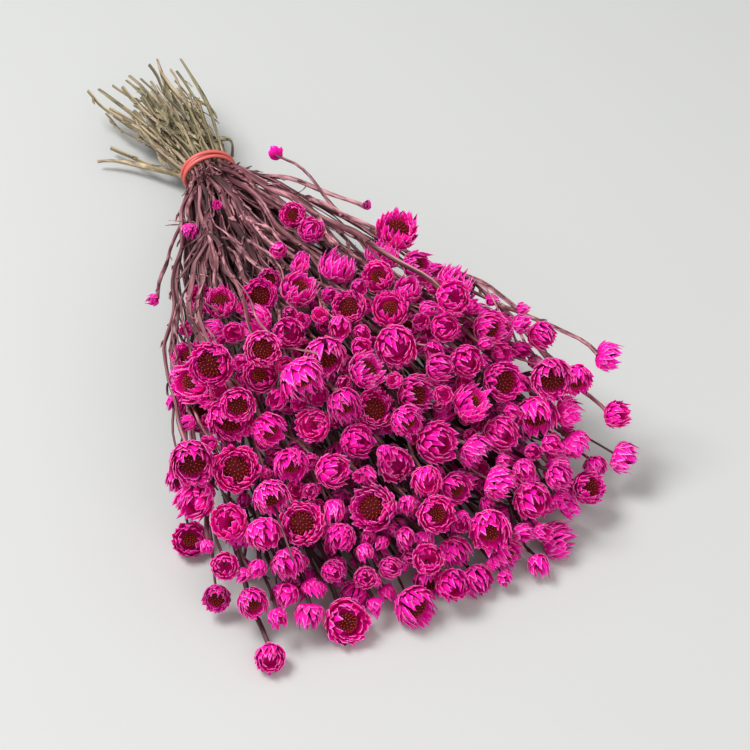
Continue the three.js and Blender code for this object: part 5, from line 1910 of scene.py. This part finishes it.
print("fibres along a stalk:", round(fibre_size[0]), "round it:", round(fibre_size[1]))

# %% Winged stem: dye above the band, straw below, painted shade on the low stems
# To the eye this is dry bark: streaky and dull, with painted shade on the stems low inside the bunch,
# fading at the tie
MAUVE = [(0.30, "26090f"), (0.42, "582830"), (0.54, "8d545d"), (0.70, "c99099")]
STRAW = [(0.3, "473f2d"), (0.44, "77704f"), (0.56, "927c66"), (0.7, "b8a888")]
# The dark mauve of the painted shade that the stems low in the bunch are mixed towards
PAINTED_INNER_SHADE = "2c0413"
FADE = 8 * MM
where = add_node(tree, "ShaderNodeTexCoord", {}, {})
part = add_node(tree, "ShaderNodeSeparateXYZ", {}, {"Vector": where.outputs["Object"]})
fade = add_node(
    tree, "ShaderNodeMapRange", {"From Min": TIE.y - FADE, "From Max": TIE.y + FADE},
    {"Value": part.outputs["Y"]},
)
mauve = add_node(tree, "ShaderNodeValToRGB", {"stops": MAUVE}, {"Fac": shade.outputs[0]})
straw = add_node(tree, "ShaderNodeValToRGB", {"stops": STRAW}, {"Fac": shade.outputs[0]})
tone = add_node(tree, "ShaderNodeAttribute", {"attribute_name": "tone"}, {})
# Painted shade: the lower a stem lies in the bunch, the more of the dark mauve it gets
mauve_with_painted_shade = add_node(
    tree, "ShaderNodeMix", {"data_type": "RGBA", 6: linear(PAINTED_INNER_SHADE)},
    {0: tone.outputs["Fac"], 7: mauve.outputs["Color"]},
)
mixed = add_node(
    tree, "ShaderNodeMix", {"data_type": "RGBA"},
    {0: fade.outputs[0], 6: mauve_with_painted_shade.outputs[2], 7: straw.outputs["Color"]},
)
bump = add_node(
    tree, "ShaderNodeBump", {"Strength": 0.3, "Distance": FIBRE_DEEP_MM * MM},
    {"Height": fibre.outputs[0]},
)
bark = add_node(
    tree, "ShaderNodeBsdfPrincipled", {"Roughness": 0.6},
    {"Base Color": mixed.outputs[2], "Normal": bump.outputs[0]},
)
add_node(tree, "ShaderNodeOutputMaterial", {}, {"Surface": bark.outputs[0]})
print("winged stem nodes:", len(tree.nodes))

# %% [markdown]
# Rubber
#
# The band is natural rubber, dyed a red pink and extruded smooth. It is even all over, so
# it needs no pattern, only a soft gloss that shows how round the strand is.

# %% Band rubber
# To the eye this is soft and slightly shiny, with one broad highlight along each turn
tree = empty_tree(band_rubber)
rubber = add_node(
    tree, "ShaderNodeBsdfPrincipled",
    {"Roughness": 0.42, "IOR": 1.52, "Base Color": linear("c95a55")}, {}
)
add_node(tree, "ShaderNodeOutputMaterial", {}, {"Surface": rubber.outputs[0]})
print("band rubber nodes:", len(tree.nodes))

# %% [markdown]
# Floor and light
#
# The bunch lies on a plain pale floor in soft daylight. A small hard lamp would cut each
# bract out with a black edge. So one large light above on the left models the heads, a
# second one in front fills their shadows, and an even sky reaches the rest.

# %% Floor
# A matt painted board: pale, without shine, so that only the shadows show on it
FLOOR_WIDE = 16
bpy.ops.mesh.primitive_plane_add(size=FLOOR_WIDE, location=(0, 0, 0))
floor = bpy.context.object
floor.name = "floor"
matt_board = bpy.data.materials.new("matt_board")
tree = empty_tree(matt_board)
board = add_node(
    tree, "ShaderNodeBsdfPrincipled", {"Roughness": 0.9, "Base Color": linear("b0b1b0")}, {}
)
add_node(tree, "ShaderNodeOutputMaterial", {}, {"Surface": board.outputs[0]})
floor.data.materials.append(matt_board)
print("floor:", FLOOR_WIDE, "m wide")

# %% Lights
# Each lamp is a place, a width in metres and a power in watts
LAMPS = {"window": ((-0.7, 0.2, 1.5), 0.8, 30), "fill": ((-0.1, -1.5, 0.9), 1.4, 12.5)}
SKY, SKY_STRENGTH = "f6f6f4", 0.71
world = bpy.data.worlds.new("soft_sky")
scene.world = world
world.use_nodes = True
world.node_tree.nodes["Background"].inputs["Color"].default_value = linear(SKY)
world.node_tree.nodes["Background"].inputs["Strength"].default_value = SKY_STRENGTH
for name, (place, wide, power) in LAMPS.items():
    data = bpy.data.lights.new(name, "AREA")
    data.shape, data.size, data.energy = "DISK", wide, power
    lamp = bpy.data.objects.new(name, data)
    aim = Vector(place).to_track_quat("Z", "Y").to_matrix().to_4x4()
    lamp.matrix_world = Matrix.Translation(place) @ aim
    scene.collection.objects.link(lamp)
    print("lamp:", name, power, "W")

# %% [markdown]
# The camera
#
# The camera looks down on the heads from the front left with a long lens, as a product
# picture does. Its turn, rise and distance were tried until the tie, the cut ends and the
# outline of the crown lay where the photo has them.

# %% Camera
LOOK_AT = Vector((0.01895, -0.04955, 0))
CAMERA_TURN, CAMERA_RISE, CAMERA_AWAY = math.radians(-21), math.radians(42), 0.7601
CAMERA_LENS, CAMERA_SENSOR = 81.6, 36
back = Vector((
    math.sin(CAMERA_TURN) * math.cos(CAMERA_RISE),
    -math.cos(CAMERA_TURN) * math.cos(CAMERA_RISE),
    math.sin(CAMERA_RISE),
))
camera = bpy.data.objects.new("camera", bpy.data.cameras.new("camera"))
camera.data.lens, camera.data.sensor_width = CAMERA_LENS, CAMERA_SENSOR
aim = back.to_track_quat("Z", "Y").to_matrix().to_4x4()
camera.matrix_world = Matrix.Translation(LOOK_AT + back * CAMERA_AWAY) @ aim
scene.collection.objects.link(camera)
scene.camera = camera
scene.view_settings.view_transform = "Standard"
print("camera:", round(CAMERA_AWAY, 2), "m away, lens", CAMERA_LENS, "mm")
